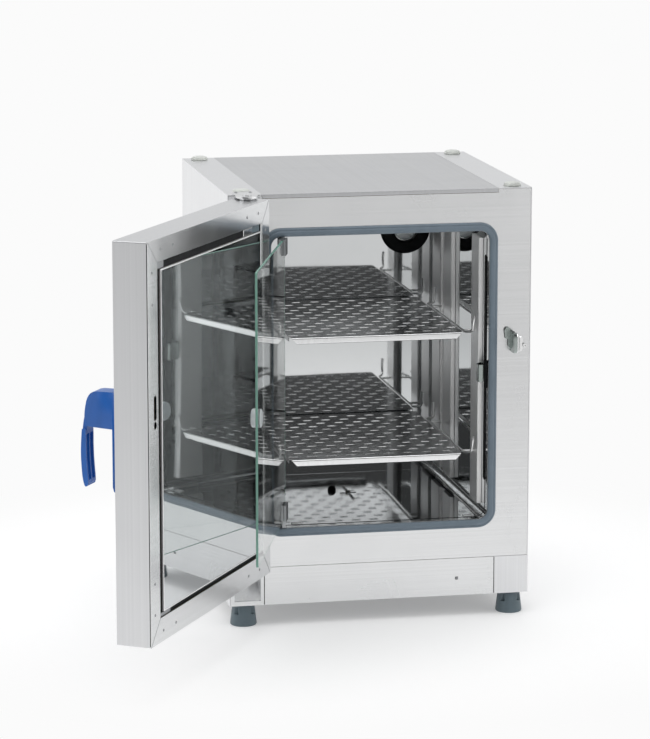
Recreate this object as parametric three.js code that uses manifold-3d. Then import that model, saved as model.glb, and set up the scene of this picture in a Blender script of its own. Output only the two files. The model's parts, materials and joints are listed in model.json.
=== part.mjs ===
// Laboratory incubator: an insulated cabinet on four feet, with an outer door,
// an inner glass door, two perforated shelves, and a port through the rear wall.
// Millimetres, +Z up. The cabinet is laid out with its front face on y = 0,
// its left side on x = 0 and the floor on z = 0, and moved to the shared
// origin (the middle of the footprint, on the floor) at the very end.
import * as THREE from 'three';
import { mergeVertices } from 'three/addons/utils/BufferGeometryUtils.js';
import Module from 'manifold-3d';

const wasm = await Module();
wasm.setup();

// ---------------------------------------------------------------- dimensions
const GAP = 0.3; // clearance between two pieces that touch
const BODY_W = 530; // cabinet width
const BODY_D = 501.5; // cabinet depth, front face to rear panel
const BODY_Z0 = 38; // underside of the cabinet
const BODY_Z1 = 754; // top of the cabinet
const SHEET = 1.5; // casing sheet
const SEAM_X = 58.5; // width of the casing's return over the top
const CORNER_X = 61; // width of the front corner tabs
const PLINTH_Z = 105; // top of the plinth panel
const MOUTH = { x0: 74.5, x1: 455.5, z0: 173.5, z1: 680.5, r: 17 };
const CHAMBER_D = 408; // rear wall of the chamber
const LINER_T = 1.2; // liner sheet
const GASKET_W = 15; // width of the gasket bead
const GASKET_OUT = 6.1; // how far the bead stands off the front face

const DOOR_X0 = 8; // outer door when it is shut
const DOOR_X1 = 522;
const DOOR_Z0 = 106;
const DOOR_Z1 = 751.4;
const DOOR_IN = -6.5; // inner face of the shut door
const DOOR_T = 59.1; // thickness of the door
const DOOR_OUT = DOOR_IN - DOOR_T;
const HINGE = { x: 26.8, y: -39 }; // axis of the outer door
const DOOR_OPEN = 121.6; // how far it stands open, degrees
const MEMBER = { hinge: 33, free: 37.5, top: 36.5, bottom: 40 }; // widths of the door's inner frame members
const INSET = { hinge: 39, free: 51, top: 49.5, bottom: 48.5 }; // mirror panel edges, from the door's edges

const GLASS_HINGE = { x: 92, y: 3 }; // axis of the glass door
const GLASS_OPEN = 107.6;
const PANE = { x0: 94, x1: 449, y0: 6, y1: 10, z0: 192, z1: 677 };
const KNOB_X = 424;
const KNOB_Z = 435;

const SHELF = { x0: 112, x1: 418, y0: 30, y1: 400, t: 1.5 };
const SHELF_Z = [500.5, 286]; // top faces of the two shelves
const UPRIGHT_Y = [[41, 96], [247, 398]]; // front and rear uprights, from and to
const RAIL_Y = [70, 318]; // where the wire supports peg into them
const PORT = { x: 398, z: 627, bore: 21.5, ring: 45.5 };
const PROBE = { x: 292, z: 214 }; // where the temperature probe comes in
const FOOT = [28, 502];
const FOOT_Y = [24, 475];
const STRIKE = { x: 497, z0: 469, z1: 505 };
const LEVER = { x: 503, y: DOOR_OUT - 27, z: 493 }; // axis of the grip lever
const PAWL = { x: 497, y: -42, z: 512 }; // axis of the latch pawl

// ---------------------------------------------------------------- geometry
function solid(geometry) {
  const g = geometry.clone();
  g.deleteAttribute('normal');
  g.deleteAttribute('uv');
  const m = mergeVertices(g, 1e-4);
  return new wasm.Manifold(new wasm.Mesh({
    numProp: 3,
    vertProperties: new Float32Array(m.attributes.position.array),
    triVerts: new Uint32Array(m.index.array),
  }));
}

function surface(manifold) {
  const mesh = manifold.getMesh();
  const g = new THREE.BufferGeometry();
  g.setAttribute('position', new THREE.BufferAttribute(new Float32Array(mesh.vertProperties), 3));
  g.setIndex(new THREE.BufferAttribute(new Uint32Array(mesh.triVerts), 1));
  return g;
}

function box(x0, x1, y0, y1, z0, z1) {
  const g = new THREE.BoxGeometry(x1 - x0, y1 - y0, z1 - z0);
  g.translate((x0 + x1) / 2, (y0 + y1) / 2, (z0 + z1) / 2);
  return g;
}

// block whose eight corners are put where the rule says
function warped(rule) {
  const g = new THREE.BoxGeometry(1, 1, 1);
  const p = g.attributes.position;
  for (let i = 0; i < p.count; i++) {
    p.setXYZ(i, ...rule(p.getX(i), p.getY(i), p.getZ(i)));
  }
  return g;
}

function loop(points) {
  return new THREE.Shape(points.map(([a, b]) => new THREE.Vector2(a, b)));
}

// corner points of a rounded rectangle, in order round the outline
function rounded(a0, b0, a1, b1, r, steps = 6) {
  const pts = [];
  const centres = [[a1 - r, b0 + r, -90], [a1 - r, b1 - r, 0], [a0 + r, b1 - r, 90], [a0 + r, b0 + r, 180]];
  for (const [ca, cb, from] of centres) {
    for (let i = 0; i <= steps; i++) {
      const t = THREE.MathUtils.degToRad(from + (90 * i) / steps);
      pts.push([ca + r * Math.cos(t), cb + r * Math.sin(t)]);
    }
  }
  return pts;
}

function ring(ca, cb, r, steps = 24) {
  const pts = [];
  for (let i = 0; i < steps; i++) {
    const t = (2 * Math.PI * i) / steps;
    pts.push([ca + r * Math.cos(t), cb + r * Math.sin(t)]);
  }
  return pts;
}

function extrude(shape, depth) {
  return new THREE.ExtrudeGeometry(shape, { depth, bevelEnabled: false, curveSegments: 12 });
}

// outline in x, y; pushed up in z
function alongZ(points, z0, z1) {
  const g = extrude(loop(points), z1 - z0);
  g.translate(0, 0, z0);
  return g;
}

// outline in x, z; pushed back in y
function alongY(points, y0, y1) {
  const g = extrude(loop(points), y1 - y0);
  g.rotateX(Math.PI / 2);
  g.translate(0, y1, 0);
  return g;
}

// outline in y, z; pushed right in x
function alongX(points, x0, x1) {
  const g = extrude(loop(points), x1 - x0);
  const m = new THREE.Matrix4().set(0, 0, 1, 0, 1, 0, 0, 0, 0, 1, 0, 0, 0, 0, 0, 1);
  g.applyMatrix4(m);
  g.translate(x0, 0, 0);
  return g;
}

function join(...parts) {
  return parts.map((p) => (p.isBufferGeometry ? solid(p) : p)).reduce((a, b) => a.add(b));
}

function cut(base, ...tools) {
  let out = base.isBufferGeometry ? solid(base) : base;
  for (const t of tools) {
    out = out.subtract(t.isBufferGeometry ? solid(t) : t);
  }
  return out;
}

function turned(profile, steps = 24) {
  const pts = profile.map(([r, z]) => new THREE.Vector2(r, z));
  const g = new THREE.LatheGeometry(pts, steps);
  g.rotateX(Math.PI / 2);
  return g;
}

// round bar through a list of points, with bends of the given radius
function bar(points, radius, bend = 8, sides = 8, perBend = 3) {
  const v = points.map((p) => new THREE.Vector3(...p));
  const path = new THREE.CurvePath();
  let from = v[0];
  for (let i = 1; i < v.length - 1; i++) {
    const a = v[i].clone().add(v[i - 1].clone().sub(v[i]).setLength(bend));
    const b = v[i].clone().add(v[i + 1].clone().sub(v[i]).setLength(bend));
    path.add(new THREE.LineCurve3(from, a));
    path.add(new THREE.QuadraticBezierCurve3(a, v[i], b));
    from = b;
  }
  path.add(new THREE.LineCurve3(from, v[v.length - 1]));
  const pts = [v[0]];
  for (const c of path.curves) {
    const n = c.isLineCurve3 ? 1 : perBend;
    for (let i = 1; i <= n; i++) pts.push(c.getPoint(i / n));
  }
  return sweep(pts, radius, sides);
}

// tube along straight runs, closed with flat ends
function sweep(pts, radius, sides) {
  const pos = [];
  const idx = [];
  let side = new THREE.Vector3(0, 0, 1);
  const n = pts.length;
  for (let i = 0; i < n; i++) {
    const before = i > 0 ? pts[i].clone().sub(pts[i - 1]).normalize() : null;
    const after = i < n - 1 ? pts[i + 1].clone().sub(pts[i]).normalize() : null;
    const dir = before && after ? before.clone().add(after).normalize() : before || after;
    if (Math.abs(side.dot(dir)) > 0.95) side = new THREE.Vector3(1, 0, 0);
    side.sub(dir.clone().multiplyScalar(side.dot(dir))).normalize();
    const other = new THREE.Vector3().crossVectors(dir, side);
    for (let k = 0; k < sides; k++) {
      const t = (2 * Math.PI * k) / sides;
      const p = pts[i].clone();
      p.addScaledVector(side, radius * Math.cos(t));
      p.addScaledVector(other, radius * Math.sin(t));
      pos.push(p.x, p.y, p.z);
    }
  }
  for (let i = 0; i < n - 1; i++) {
    for (let k = 0; k < sides; k++) {
      const a = i * sides + k;
      const b = i * sides + ((k + 1) % sides);
      idx.push(a, b, b + sides, a, b + sides, a + sides);
    }
  }
  for (let k = 1; k < sides - 1; k++) {
    idx.push(0, k + 1, k);
    const e = (n - 1) * sides;
    idx.push(e, e + k, e + k + 1);
  }
  const g = new THREE.BufferGeometry();
  g.setAttribute('position', new THREE.Float32BufferAttribute(pos, 3));
  g.setIndex(idx);
  return g;
}

// bead with the given section (out, along y) carried round a rounded rectangle
function bead(section, x0, z0, x1, z1, r, steps = 6) {
  const path = rounded(x0, z0, x1, z1, r, steps);
  const n = path.length;
  const pos = [];
  const idx = [];
  const centres = [[x1 - r, z0 + r], [x1 - r, z1 - r], [x0 + r, z1 - r], [x0 + r, z0 + r]];
  path.forEach(([x, z], i) => {
    const c = centres[Math.floor(i / (steps + 1))];
    const d = new THREE.Vector2(x - c[0], z - c[1]).normalize();
    for (const [out, y] of section) {
      pos.push(x + d.x * out, y, z + d.y * out);
    }
  });
  const k = section.length;
  for (let i = 0; i < n; i++) {
    const j = (i + 1) % n;
    for (let a = 0; a < k; a++) {
      const b = (a + 1) % k;
      idx.push(i * k + a, j * k + b, j * k + a, i * k + a, i * k + b, j * k + b);
    }
  }
  const g = new THREE.BufferGeometry();
  g.setAttribute('position', new THREE.Float32BufferAttribute(pos, 3));
  g.setIndex(idx);
  return g;
}

// turn a piece that was drawn shut to its open place
function swing(manifold, axis, degrees) {
  return manifold.translate([-axis.x, -axis.y, 0]).rotate([0, 0, -degrees]).translate([axis.x, axis.y, 0]);
}

// ---------------------------------------------------------------- materials
const LOOKS = {
  painted_steel: [0xd4d6d8, 0.2, 0.45],
  stainless: [0xc4c7ca, 1.0, 0.3],
  polished: [0xd8dadc, 1.0, 0.08],
  dark_steel: [0x6d7275, 0.9, 0.4],
  gasket: [0x71808e, 0.0, 0.55],
  black_rubber: [0x17191a, 0.0, 0.6],
  blue_plastic: [0x2f5fb0, 0.0, 0.35],
  slate_plastic: [0x5c6a74, 0.0, 0.5],
  pad: [0xeef0ea, 0.0, 0.4],
  glass: [0xbfd8d0, 0.0, 0.05],
  frosted: [0xe6ecec, 0.0, 0.4],
  foam: [0xd9c79a, 0.0, 0.9],
  panel: [0x2a2d30, 0.0, 0.35],
  board: [0x2c6a3a, 0.0, 0.6],
  heater: [0x8a5a36, 0.6, 0.5],
};

const group = new THREE.Group();
group.name = 'laboratory_incubator';

function place(name, part, look) {
  const raw = part.isBufferGeometry ? part : surface(part);
  const g = mergeVertices(raw.index ? raw.toNonIndexed() : raw, 1e-4);
  g.deleteAttribute('normal');
  g.deleteAttribute('uv');
  const flat = g.toNonIndexed();
  flat.computeVertexNormals();
  const [color, metalness, roughness] = LOOKS[look];
  const material = new THREE.MeshStandardMaterial({ name: `${name}_mat`, color, metalness, roughness });
  if (look === 'glass') {
    material.transparent = true;
    material.opacity = 0.35;
  }
  const mesh = new THREE.Mesh(flat, material);
  mesh.name = name;
  group.add(mesh);
}

// ---------------------------------------------------------------- cabinet
function sideCasing(right) {
  const s = (x) => (right ? BODY_W - x : x);
  const xs = (a, b) => [Math.min(s(a), s(b)), Math.max(s(a), s(b))];
  const side = box(...xs(0, SHEET), 0, BODY_D, BODY_Z0, BODY_Z1);
  const roof = box(...xs(0, SEAM_X), 0, BODY_D, BODY_Z1 - SHEET, BODY_Z1);
  const foot = box(...xs(0, 24), 60, 440, BODY_Z0, BODY_Z0 + SHEET);
  let out = join(side, roof, foot);
  if (right) {
    out = join(out, box(...xs(0, CORNER_X - GAP), 0, SHEET, BODY_Z0, PLINTH_Z - GAP));
  }
  return out;
}

function topPanel() {
  const x0 = SEAM_X + GAP;
  const x1 = BODY_W - SEAM_X - GAP;
  const roof = box(x0, x1, 0, BODY_D, BODY_Z1 - SHEET, BODY_Z1);
  const lip = box(x0, x1, 0, SHEET, BODY_Z1 - 7, BODY_Z1);
  return join(roof, lip);
}

function frontFrame() {
  const z0 = PLINTH_Z + GAP;
  const zt = BODY_Z1 - SHEET - GAP;
  const zl = BODY_Z1 - 7.6;
  const a = SHEET + GAP;
  const b = BODY_W - a;
  const outline = [[a, z0], [b, z0], [b, zt], [BODY_W - SEAM_X, zt], [BODY_W - SEAM_X, zl],
    [SEAM_X, zl], [SEAM_X, zt], [a, zt]];
  const sheet = alongY(outline, 0, SHEET);
  const mouth = alongY(rounded(MOUTH.x0, MOUTH.z0, MOUTH.x1, MOUTH.z1, MOUTH.r), -5, 10);
  const left = box(a, a + SHEET, 0, 12, z0, zt);
  const right = box(b - SHEET, b, 0, 12, z0, zt);
  return cut(join(sheet, left, right), mouth);
}

function plinthPanel() {
  const x0 = CORNER_X;
  const x1 = BODY_W - CORNER_X;
  const face = box(x0, x1, 0, SHEET, BODY_Z0, PLINTH_Z - GAP);
  const fold = box(x0, x1, 0, 16, BODY_Z0, BODY_Z0 + SHEET);
  const screw = alongY(ring(402, 69, 3, 12), -5, 5);
  return cut(join(face, fold), screw);
}

function basePlate() {
  const plate = box(25, BODY_W - 25, 17, BODY_D - 3, BODY_Z0, BODY_Z0 + 2);
  return cut(plate, box(0, 26, 61, 439, 30, 45), box(BODY_W - 26, BODY_W, 61, 439, 30, 45),
    box(0, CORNER_X, 0, 46, 30, 45));
}

function rearPanel() {
  const a = SHEET + GAP;
  const outline = [[a, BODY_Z0], [BODY_W - a, BODY_Z0], [BODY_W - a, BODY_Z1 - SHEET - GAP],
    [a, BODY_Z1 - SHEET - GAP]];
  let out = solid(alongY(outline, BODY_D - SHEET, BODY_D));
  out = cut(out, alongY(ring(PORT.x, PORT.z, PORT.bore + 3.5), 480, 520));
  for (let i = 0; i < 9; i++) {
    out = cut(out, box(90 + i * 22, 100 + i * 22, 480, 520, 60, 92));
  }
  return cut(out, box(399.5, 440.5, 480, 520, 60, 92));
}

function lowerHinge() {
  const x1 = CORNER_X - GAP;
  const x0 = SHEET + GAP;
  const z1 = PLINTH_Z - GAP;
  const shell = cut(
    box(x0, x1, 0, 45, BODY_Z0, z1),
    box(x0 + 7, x1 - 6, -1, 43, BODY_Z0 + 8, z1 - 8),
  );
  const slope = alongX([[4, BODY_Z0 + 7], [43.5, BODY_Z0 + 7], [43.5, z1 - 8.5], [34, z1 - 8.5]], x0 + 6, x1 - 5);
  const tab = [];
  for (let i = 0; i <= 12; i++) {
    const t = Math.PI * (1 + i / 12);
    tab.push([HINGE.x + 17 * Math.cos(t), HINGE.y + 17 * Math.sin(t)]);
  }
  const tongue = alongZ([...tab, [HINGE.x + 17, 2], [HINGE.x - 17, 2]], z1 - 4, z1 - 0.4);
  const pin = alongZ(ring(HINGE.x, HINGE.y, 5, 20), z1 - 3, z1 + 17);
  const collar = alongZ(ring(HINGE.x, HINGE.y, 9, 20), z1 - 2, DOOR_Z0 - GAP);
  return join(shell, slope, tongue, pin, collar);
}

function upperHinge() {
  const tab = [];
  for (let i = 0; i <= 12; i++) {
    const t = Math.PI * (1 + i / 12);
    tab.push([HINGE.x + 18 * Math.cos(t), HINGE.y + 18 * Math.sin(t)]);
  }
  const z0 = BODY_Z1 + GAP;
  const plate = alongZ([...tab, [HINGE.x + 18, 7], [HINGE.x - 18, 7]], z0, z0 + 4);
  const boss = alongZ(ring(HINGE.x, HINGE.y, 13, 24), DOOR_Z1 + GAP, z0 + 1);
  const pin = alongZ(ring(HINGE.x, HINGE.y, 5, 20), 735, z0 + 1);
  const cap = alongZ(ring(HINGE.x, HINGE.y, 8, 20), z0 + 3, z0 + 5.5);
  return join(plate, boss, pin, cap);
}

function liner() {
  const m = MOUTH;
  const y0 = SHEET + GAP;
  const t = LINER_T;
  const outer = alongY(rounded(m.x0 - t, m.z0 - t, m.x1 + t, m.z1 + t, m.r + t), y0, CHAMBER_D + t);
  const inner = alongY(rounded(m.x0, m.z0, m.x1, m.z1, m.r), y0 - 5, CHAMBER_D);
  const port = alongY(ring(PORT.x, PORT.z, PORT.bore + 3.5), 390, 430);
  const probe = alongY(ring(PROBE.x, PROBE.z, 5, 16), 390, 430);
  return cut(outer, inner, port, probe);
}

function insulation() {
  const m = MOUTH;
  const c = LINER_T + GAP;
  const block = box(SHEET + GAP + 2.2, BODY_W - SHEET - GAP - 2.2, 13, 462, PLINTH_Z + 3, BODY_Z1 - 4);
  const hollow = alongY(rounded(m.x0 - c, m.z0 - c, m.x1 + c, m.z1 + c, m.r + c), 0, CHAMBER_D + c);
  const port = alongY(ring(PORT.x, PORT.z, PORT.bore + 3.5), 380, 480);
  const probe = alongY(ring(PROBE.x, PROBE.z, 5, 16), 380, 480);
  const pocket = box(104, 426, 54, 366, 158, MOUTH.z0 - 1);
  return cut(block, hollow, port, probe, pocket);
}

function gasket() {
  const w = GASKET_W;
  const y = -GASKET_OUT;
  const section = [[0.3, -GAP], [0.3, -2.6], [3, y + 0.8], [w / 2, y], [w - 3, y + 0.8], [w, -2.6], [w, -GAP]];
  return bead(section, MOUTH.x0, MOUTH.z0, MOUTH.x1, MOUTH.z1, MOUTH.r, 7);
}

function foot(x, y) {
  const g = turned([[0, 0], [22, 0], [23.2, 2], [23, 5], [21.2, 20], [19, 37.7], [0, 37.7]], 28);
  g.translate(x, y, 0);
  let out = solid(g);
  for (let i = 0; i < 4; i++) {
    const t = (Math.PI / 2) * i + Math.PI / 4;
    const nx = x + 24 * Math.cos(t);
    const ny = y + 24 * Math.sin(t);
    out = cut(out, box(nx - 6, nx + 6, ny - 6, ny + 6, 21, 33));
  }
  return out;
}

function stackingPad(x, y) {
  const z = BODY_Z1 + GAP;
  const g = turned([[0, z], [15, z], [15.2, z + 1.5], [13.5, z + 5], [9, z + 6.4], [0, z + 6.4]], 24);
  g.translate(x, y, 0);
  return g;
}

function striker() {
  const { x, z0, z1 } = STRIKE;
  const y0 = -GAP;
  const plate = alongY(rounded(484, z0 - 3, 524, z1 + 5, 5, 3), -2.6, y0);
  const tongue = alongX([[-2, z0], [-25, z0 + 1], [-27, z0 + 4], [-27, z1 - 6], [-24, z1], [-20, z1],
    [-19, z1 - 5], [-11, z1 - 5], [-10, z1], [-2, z1]], x - 3, x + 3);
  const stop = alongX([[-2, z0 + 2], [-5.4, z0 + 4], [-5.4, z1 - 8], [-2, z1 - 4]], 512, 518);
  return join(plate, tongue, stop);
}

// loop of heating tube in a pocket under the liner
function heater() {
  const z = 164;
  const turns = [];
  for (let i = 0; i < 6; i++) {
    const x = 130 + i * 54;
    turns.push(i % 2 ? [x, 350, z] : [x, 70, z]);
    turns.push(i % 2 ? [x, 70, z] : [x, 350, z]);
  }
  return bar(turns, 3.6, 18, 8, 3);
}

function temperatureProbe() {
  const { x, z } = PROBE;
  const rod = alongY(ring(x, z, 3, 16), 352, 470);
  const head = alongY(ring(x, z, 6, 16), 462.5, 480);
  return join(rod, head);
}

function controlBoard() {
  const card = box(110, 310, 190, 350, 46, 47.6);
  const posts = [[118, 198], [302, 198], [118, 342], [302, 342]]
    .map(([x, y]) => alongZ(ring(x, y, 3, 12), 40.3, 46.5));
  const supply = box(130, 200, 210, 300, 47, 78);
  const relay = box(220, 250, 215, 245, 47, 64);
  const caps = [0, 1, 2].map((i) => alongZ(ring(270, 225 + i * 26, 9, 16), 47, 72));
  return join(card, ...posts, supply, relay, ...caps);
}

function powerInlet() {
  const flange = alongY(rounded(392, 54, 448, 98, 5, 3), BODY_D + GAP, BODY_D + 3);
  const can = box(400, 440, 476, BODY_D + 1, 60.4, 91.6);
  const well = box(404, 436, 486, BODY_D + 5, 65, 87);
  const blades = [412, 428].map((x) => box(x - 1, x + 1, 484, BODY_D - 4, 72, 80));
  return join(cut(join(flange, can), well), ...blades, box(419, 421, 484, BODY_D - 4, 67, 74));
}

// sprung clip that holds the edge of the shut glass door
function glassCatch() {
  return alongZ([[455.2, 25.5], [455.2, 40], [449, 40], [441, 30], [440, 14], [442, 12.4], [450.5, 12.4],
    [450.5, 15], [443.5, 15.5], [444.5, 28], [449.8, 34.5], [449.8, 25.5]], 414, 444);
}

// ---------------------------------------------------------------- chamber
function shelf(z) {
  const { x0, x1, y0, y1, t } = SHELF;
  const w = x1 - x0;
  let deck = solid(alongZ(rounded(x0, y0, x1, y1, 6, 2), z - t, z));
  const cols = 9;
  const rows = 11;
  for (let r = 0; r < rows; r++) {
    const cy = y0 + 22 + ((y1 - y0 - 44) * r) / (rows - 1);
    const slots = [];
    for (let c = 0; c < cols; c++) {
      const cx = x0 + (w * (c + 0.5 + (r % 2 ? 0.2 : -0.2))) / cols;
      slots.push(box(cx - 9, cx + 9, cy - 4, cy + 4, z - 10, z + 10));
    }
    deck = cut(deck, ...slots);
  }
  // front lip: folded down and forward, its ends cut at a slant
  const lip = warped((px, py, pz) => {
    const low = pz < 0;
    const x = px < 0 ? x0 + (low ? 19 : 6) : x1 - (low ? 19 : 6);
    const y = (low ? y0 - 5 : y0 + 1) + (py < 0 ? 0 : 1.8);
    return [x, y, low ? z - 12 : z - 0.01];
  });
  const back = box(x0 + 6, x1 - 6, y1 - t, y1, z - 9, z - 0.2);
  const left = box(x0, x0 + t, y0 + 8, y1 - 8, z - 9, z - 0.2);
  const right = box(x1 - t, x1, y0 + 8, y1 - 8, z - 9, z - 0.2);
  return join(deck, lip, back, left, right);
}

// pressed pilaster on the chamber wall; the rear one has a channel for the pegs
function upright(right, rail) {
  const [y0, y1] = UPRIGHT_Y[rail];
  const pegs = RAIL_Y[rail];
  const z0 = MOUTH.z0 + 18;
  const z1 = MOUTH.z1 - 18;
  const wall = right ? MOUTH.x1 - GAP : MOUTH.x0 + GAP;
  const inner = right ? wall - 8 : wall + 8;
  const lo = Math.min(wall, inner);
  const hi = Math.max(wall, inner);
  let out = solid(box(lo, hi, y0, y1, z0, z1));
  if (rail) {
    out = cut(out, box(right ? lo - 1 : lo + 3, right ? hi - 3 : hi + 1, pegs - 16, pegs + 16, z0 - 1, z1 + 1));
  } else {
    for (let i = 0; i < 10; i++) {
      const z = z0 + 24 + i * 47;
      out = cut(out, box(right ? lo - 1 : lo + 3, right ? hi - 3 : hi + 1, pegs - 3, pegs + 3, z, z + 12));
    }
  }
  return out;
}

function wireSupport(right, z) {
  const s = right ? 1 : -1;
  const wall = right ? MOUTH.x1 - GAP : MOUTH.x0 + GAP;
  const x = wall - s * 18;
  const under = z - 12.5;
  const pts = [
    [wall - s * 13, RAIL_Y[1] + 40, under + 30],
    [wall - s * 13, RAIL_Y[1] + 40, under],
    [x - s * 10, RAIL_Y[1] + 34, under],
    [x - s * 10, 52, under],
    [x, 40, under],
    [x, 33, under + 34],
  ];
  return bar(pts, 2.2, 6, 8, 3);
}

// the two pegs that hang a wire support on its uprights
function supportPegs(right, z) {
  const s = right ? 1 : -1;
  const wall = right ? MOUTH.x1 - GAP : MOUTH.x0 + GAP;
  const under = z - 12.5;
  return RAIL_Y.map((y) => {
    const a = wall - s * 28;
    const b = wall - s * 8.4;
    return box(Math.min(a, b), Math.max(a, b), y - 2, y + 2, under - 2, under + 2);
  });
}

function portRing() {
  const { x, z, bore, ring: outer } = PORT;
  const y0 = CHAMBER_D - 9;
  const y1 = CHAMBER_D - GAP;
  const flange = turned([[bore + 0.4, -y1], [outer, -y1], [outer, -y1 + 3], [outer - 5, -y0], [bore + 3, -y0],
    [bore + 0.4, -y0 - 3], [bore + 0.4, -y1]], 32);
  flange.rotateX(Math.PI / 2);
  flange.translate(x, 0, z);
  return flange;
}

function portTube() {
  const { x, z, bore } = PORT;
  const g = turned([[bore, -(BODY_D - 2)], [bore + 3, -(BODY_D - 2)], [bore + 3, -(CHAMBER_D + 0.2)],
    [bore, -(CHAMBER_D + 0.2)], [bore, -(BODY_D - 2)]], 28);
  g.rotateX(Math.PI / 2);
  g.translate(x, 0, z);
  return g;
}

function portPlug() {
  const { x, z, bore } = PORT;
  const g = turned([[0, -(BODY_D + 22)], [24, -(BODY_D + 22)], [26, -(BODY_D + 20)], [26, -(BODY_D + 4)],
    [bore - 0.5, -(BODY_D + 4)], [bore - 2, -(CHAMBER_D + 4)], [0, -(CHAMBER_D + 4)]], 28);
  g.rotateX(Math.PI / 2);
  g.translate(x, 0, z);
  return g;
}

// ---------------------------------------------------------------- outer door
function doorSkin() {
  const o = DOOR_OUT;
  return cut(
    alongY(rounded(DOOR_X0, DOOR_Z0, DOOR_X1, DOOR_Z1, 2.5, 3), o, DOOR_IN - 2),
    box(DOOR_X0 + SHEET, DOOR_X1 - SHEET, o + SHEET, 5, DOOR_Z0 + SHEET, DOOR_Z1 - SHEET),
    alongZ(ring(HINGE.x, HINGE.y, 5.6, 20), 90, 800),
  );
}

function frameMember(side) {
  const a0 = DOOR_X0;
  const a1 = DOOR_X1;
  const b0 = DOOR_Z0;
  const b1 = DOOR_Z1;
  const w = MEMBER;
  const g = 0.15;
  const shapes = {
    bottom: [[a0 + 3 * g, b0], [a1 - 3 * g, b0], [a1 - w.free - g, b0 + w.bottom], [a0 + w.hinge + g, b0 + w.bottom]],
    top: [[a0 + w.hinge + g, b1 - w.top], [a1 - w.free - g, b1 - w.top], [a1 - 3 * g, b1], [a0 + 3 * g, b1]],
    hinge: [[a0, b0 + 3 * g], [a0 + w.hinge, b0 + w.bottom + g], [a0 + w.hinge, b1 - w.top - g], [a0, b1 - 3 * g]],
    free: [[a1 - w.free, b0 + w.bottom + g], [a1, b0 + 3 * g], [a1, b1 - 3 * g], [a1 - w.free, b1 - w.top - g]],
  };
  let out = solid(alongY(shapes[side], DOOR_IN - SHEET, DOOR_IN));
  if (side === 'free') {
    out = cut(out, alongY(rounded(491.5, 467.2, 502.5, 507, 5.4, 4), -20, 0));
    out = cut(out, alongY(rounded(491.5, 453, 502.5, 465.4, 5.4, 4), -20, 0));
  }
  return out;
}

function gapSeal() {
  const w = MEMBER;
  const i = INSET;
  const y0 = DOOR_IN - 7;
  const y1 = DOOR_IN - 4;
  return cut(
    box(DOOR_X0 + w.hinge + 0.4, DOOR_X1 - w.free - 0.4, y0, y1, DOOR_Z0 + w.bottom + 0.4, DOOR_Z1 - w.top - 0.4),
    box(DOOR_X0 + i.hinge - 0.4, DOOR_X1 - i.free + 0.4, y0 - 5, y1 + 5, DOOR_Z0 + i.bottom - 0.4, DOOR_Z1 - i.top + 0.4),
  );
}

function mirrorPanel() {
  const x0 = DOOR_X0 + INSET.hinge;
  const x1 = DOOR_X1 - INSET.free;
  const z0 = DOOR_Z0 + INSET.bottom;
  const z1 = DOOR_Z1 - INSET.top;
  return join(
    alongY(rounded(x0, z0, x1, z1, 3, 3), DOOR_IN - 2, DOOR_IN),
    box(x0 + 1, x1 - 1, DOOR_IN - 9, DOOR_IN - 1, z0 + 1, z0 + 3),
    box(x0 + 1, x1 - 1, DOOR_IN - 9, DOOR_IN - 1, z1 - 3, z1 - 1),
  );
}

function doorFoam() {
  return box(DOOR_X0 + 38, DOOR_X1 - 46, DOOR_OUT + SHEET + 0.5, DOOR_IN - 9.5, DOOR_Z0 + 4, DOOR_Z1 - 4);
}

function controlPanel() {
  const face = alongY(rounded(150, 655, 380, 725, 6, 3), DOOR_OUT - 3, DOOR_OUT - GAP);
  return cut(face, alongY(rounded(170, 672, 270, 708, 3, 2), DOOR_OUT - 5, DOOR_OUT - 1.5));
}

function display() {
  return alongY(rounded(170.4, 672.4, 269.6, 707.6, 2.6, 2), DOOR_OUT - 2.6, DOOR_OUT - 1.8);
}

// ---------------------------------------------------------------- handle
const out = (d) => DOOR_OUT - d;

function handleBase() {
  const x0 = 487;
  const x1 = 517;
  const plate = alongX([[out(GAP), 350], [out(4), 353], [out(6), 360], [out(6), 510], [out(4), 511.5],
    [out(GAP), 511.5]], x0, x1);
  const block = alongX([[out(5), 452.2], [out(40), 454], [out(45.4), 454.4], [out(48.6), 455.6], [out(51), 458],
    [out(52.6), 461.6], [out(53.2), 466.5], [out(53.1), 472], [out(52.7), 478], [out(51.3), 487], [out(49.6), 495],
    [out(47.8), 500], [out(45.2), 504.5], [out(41.8), 508], [out(37.5), 510.4], [out(31), 511.5],
    [out(5), 511.5]], x0, x1);
  const pocket = box(x0 + 3.4, x1 - 3.4, out(80), out(12), 440, 506);
  return cut(join(plate, block), pocket,
    alongX(ring(LEVER.y, LEVER.z, 3.3, 16), x0 + 1.2, x1 - 1.2));
}

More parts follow.
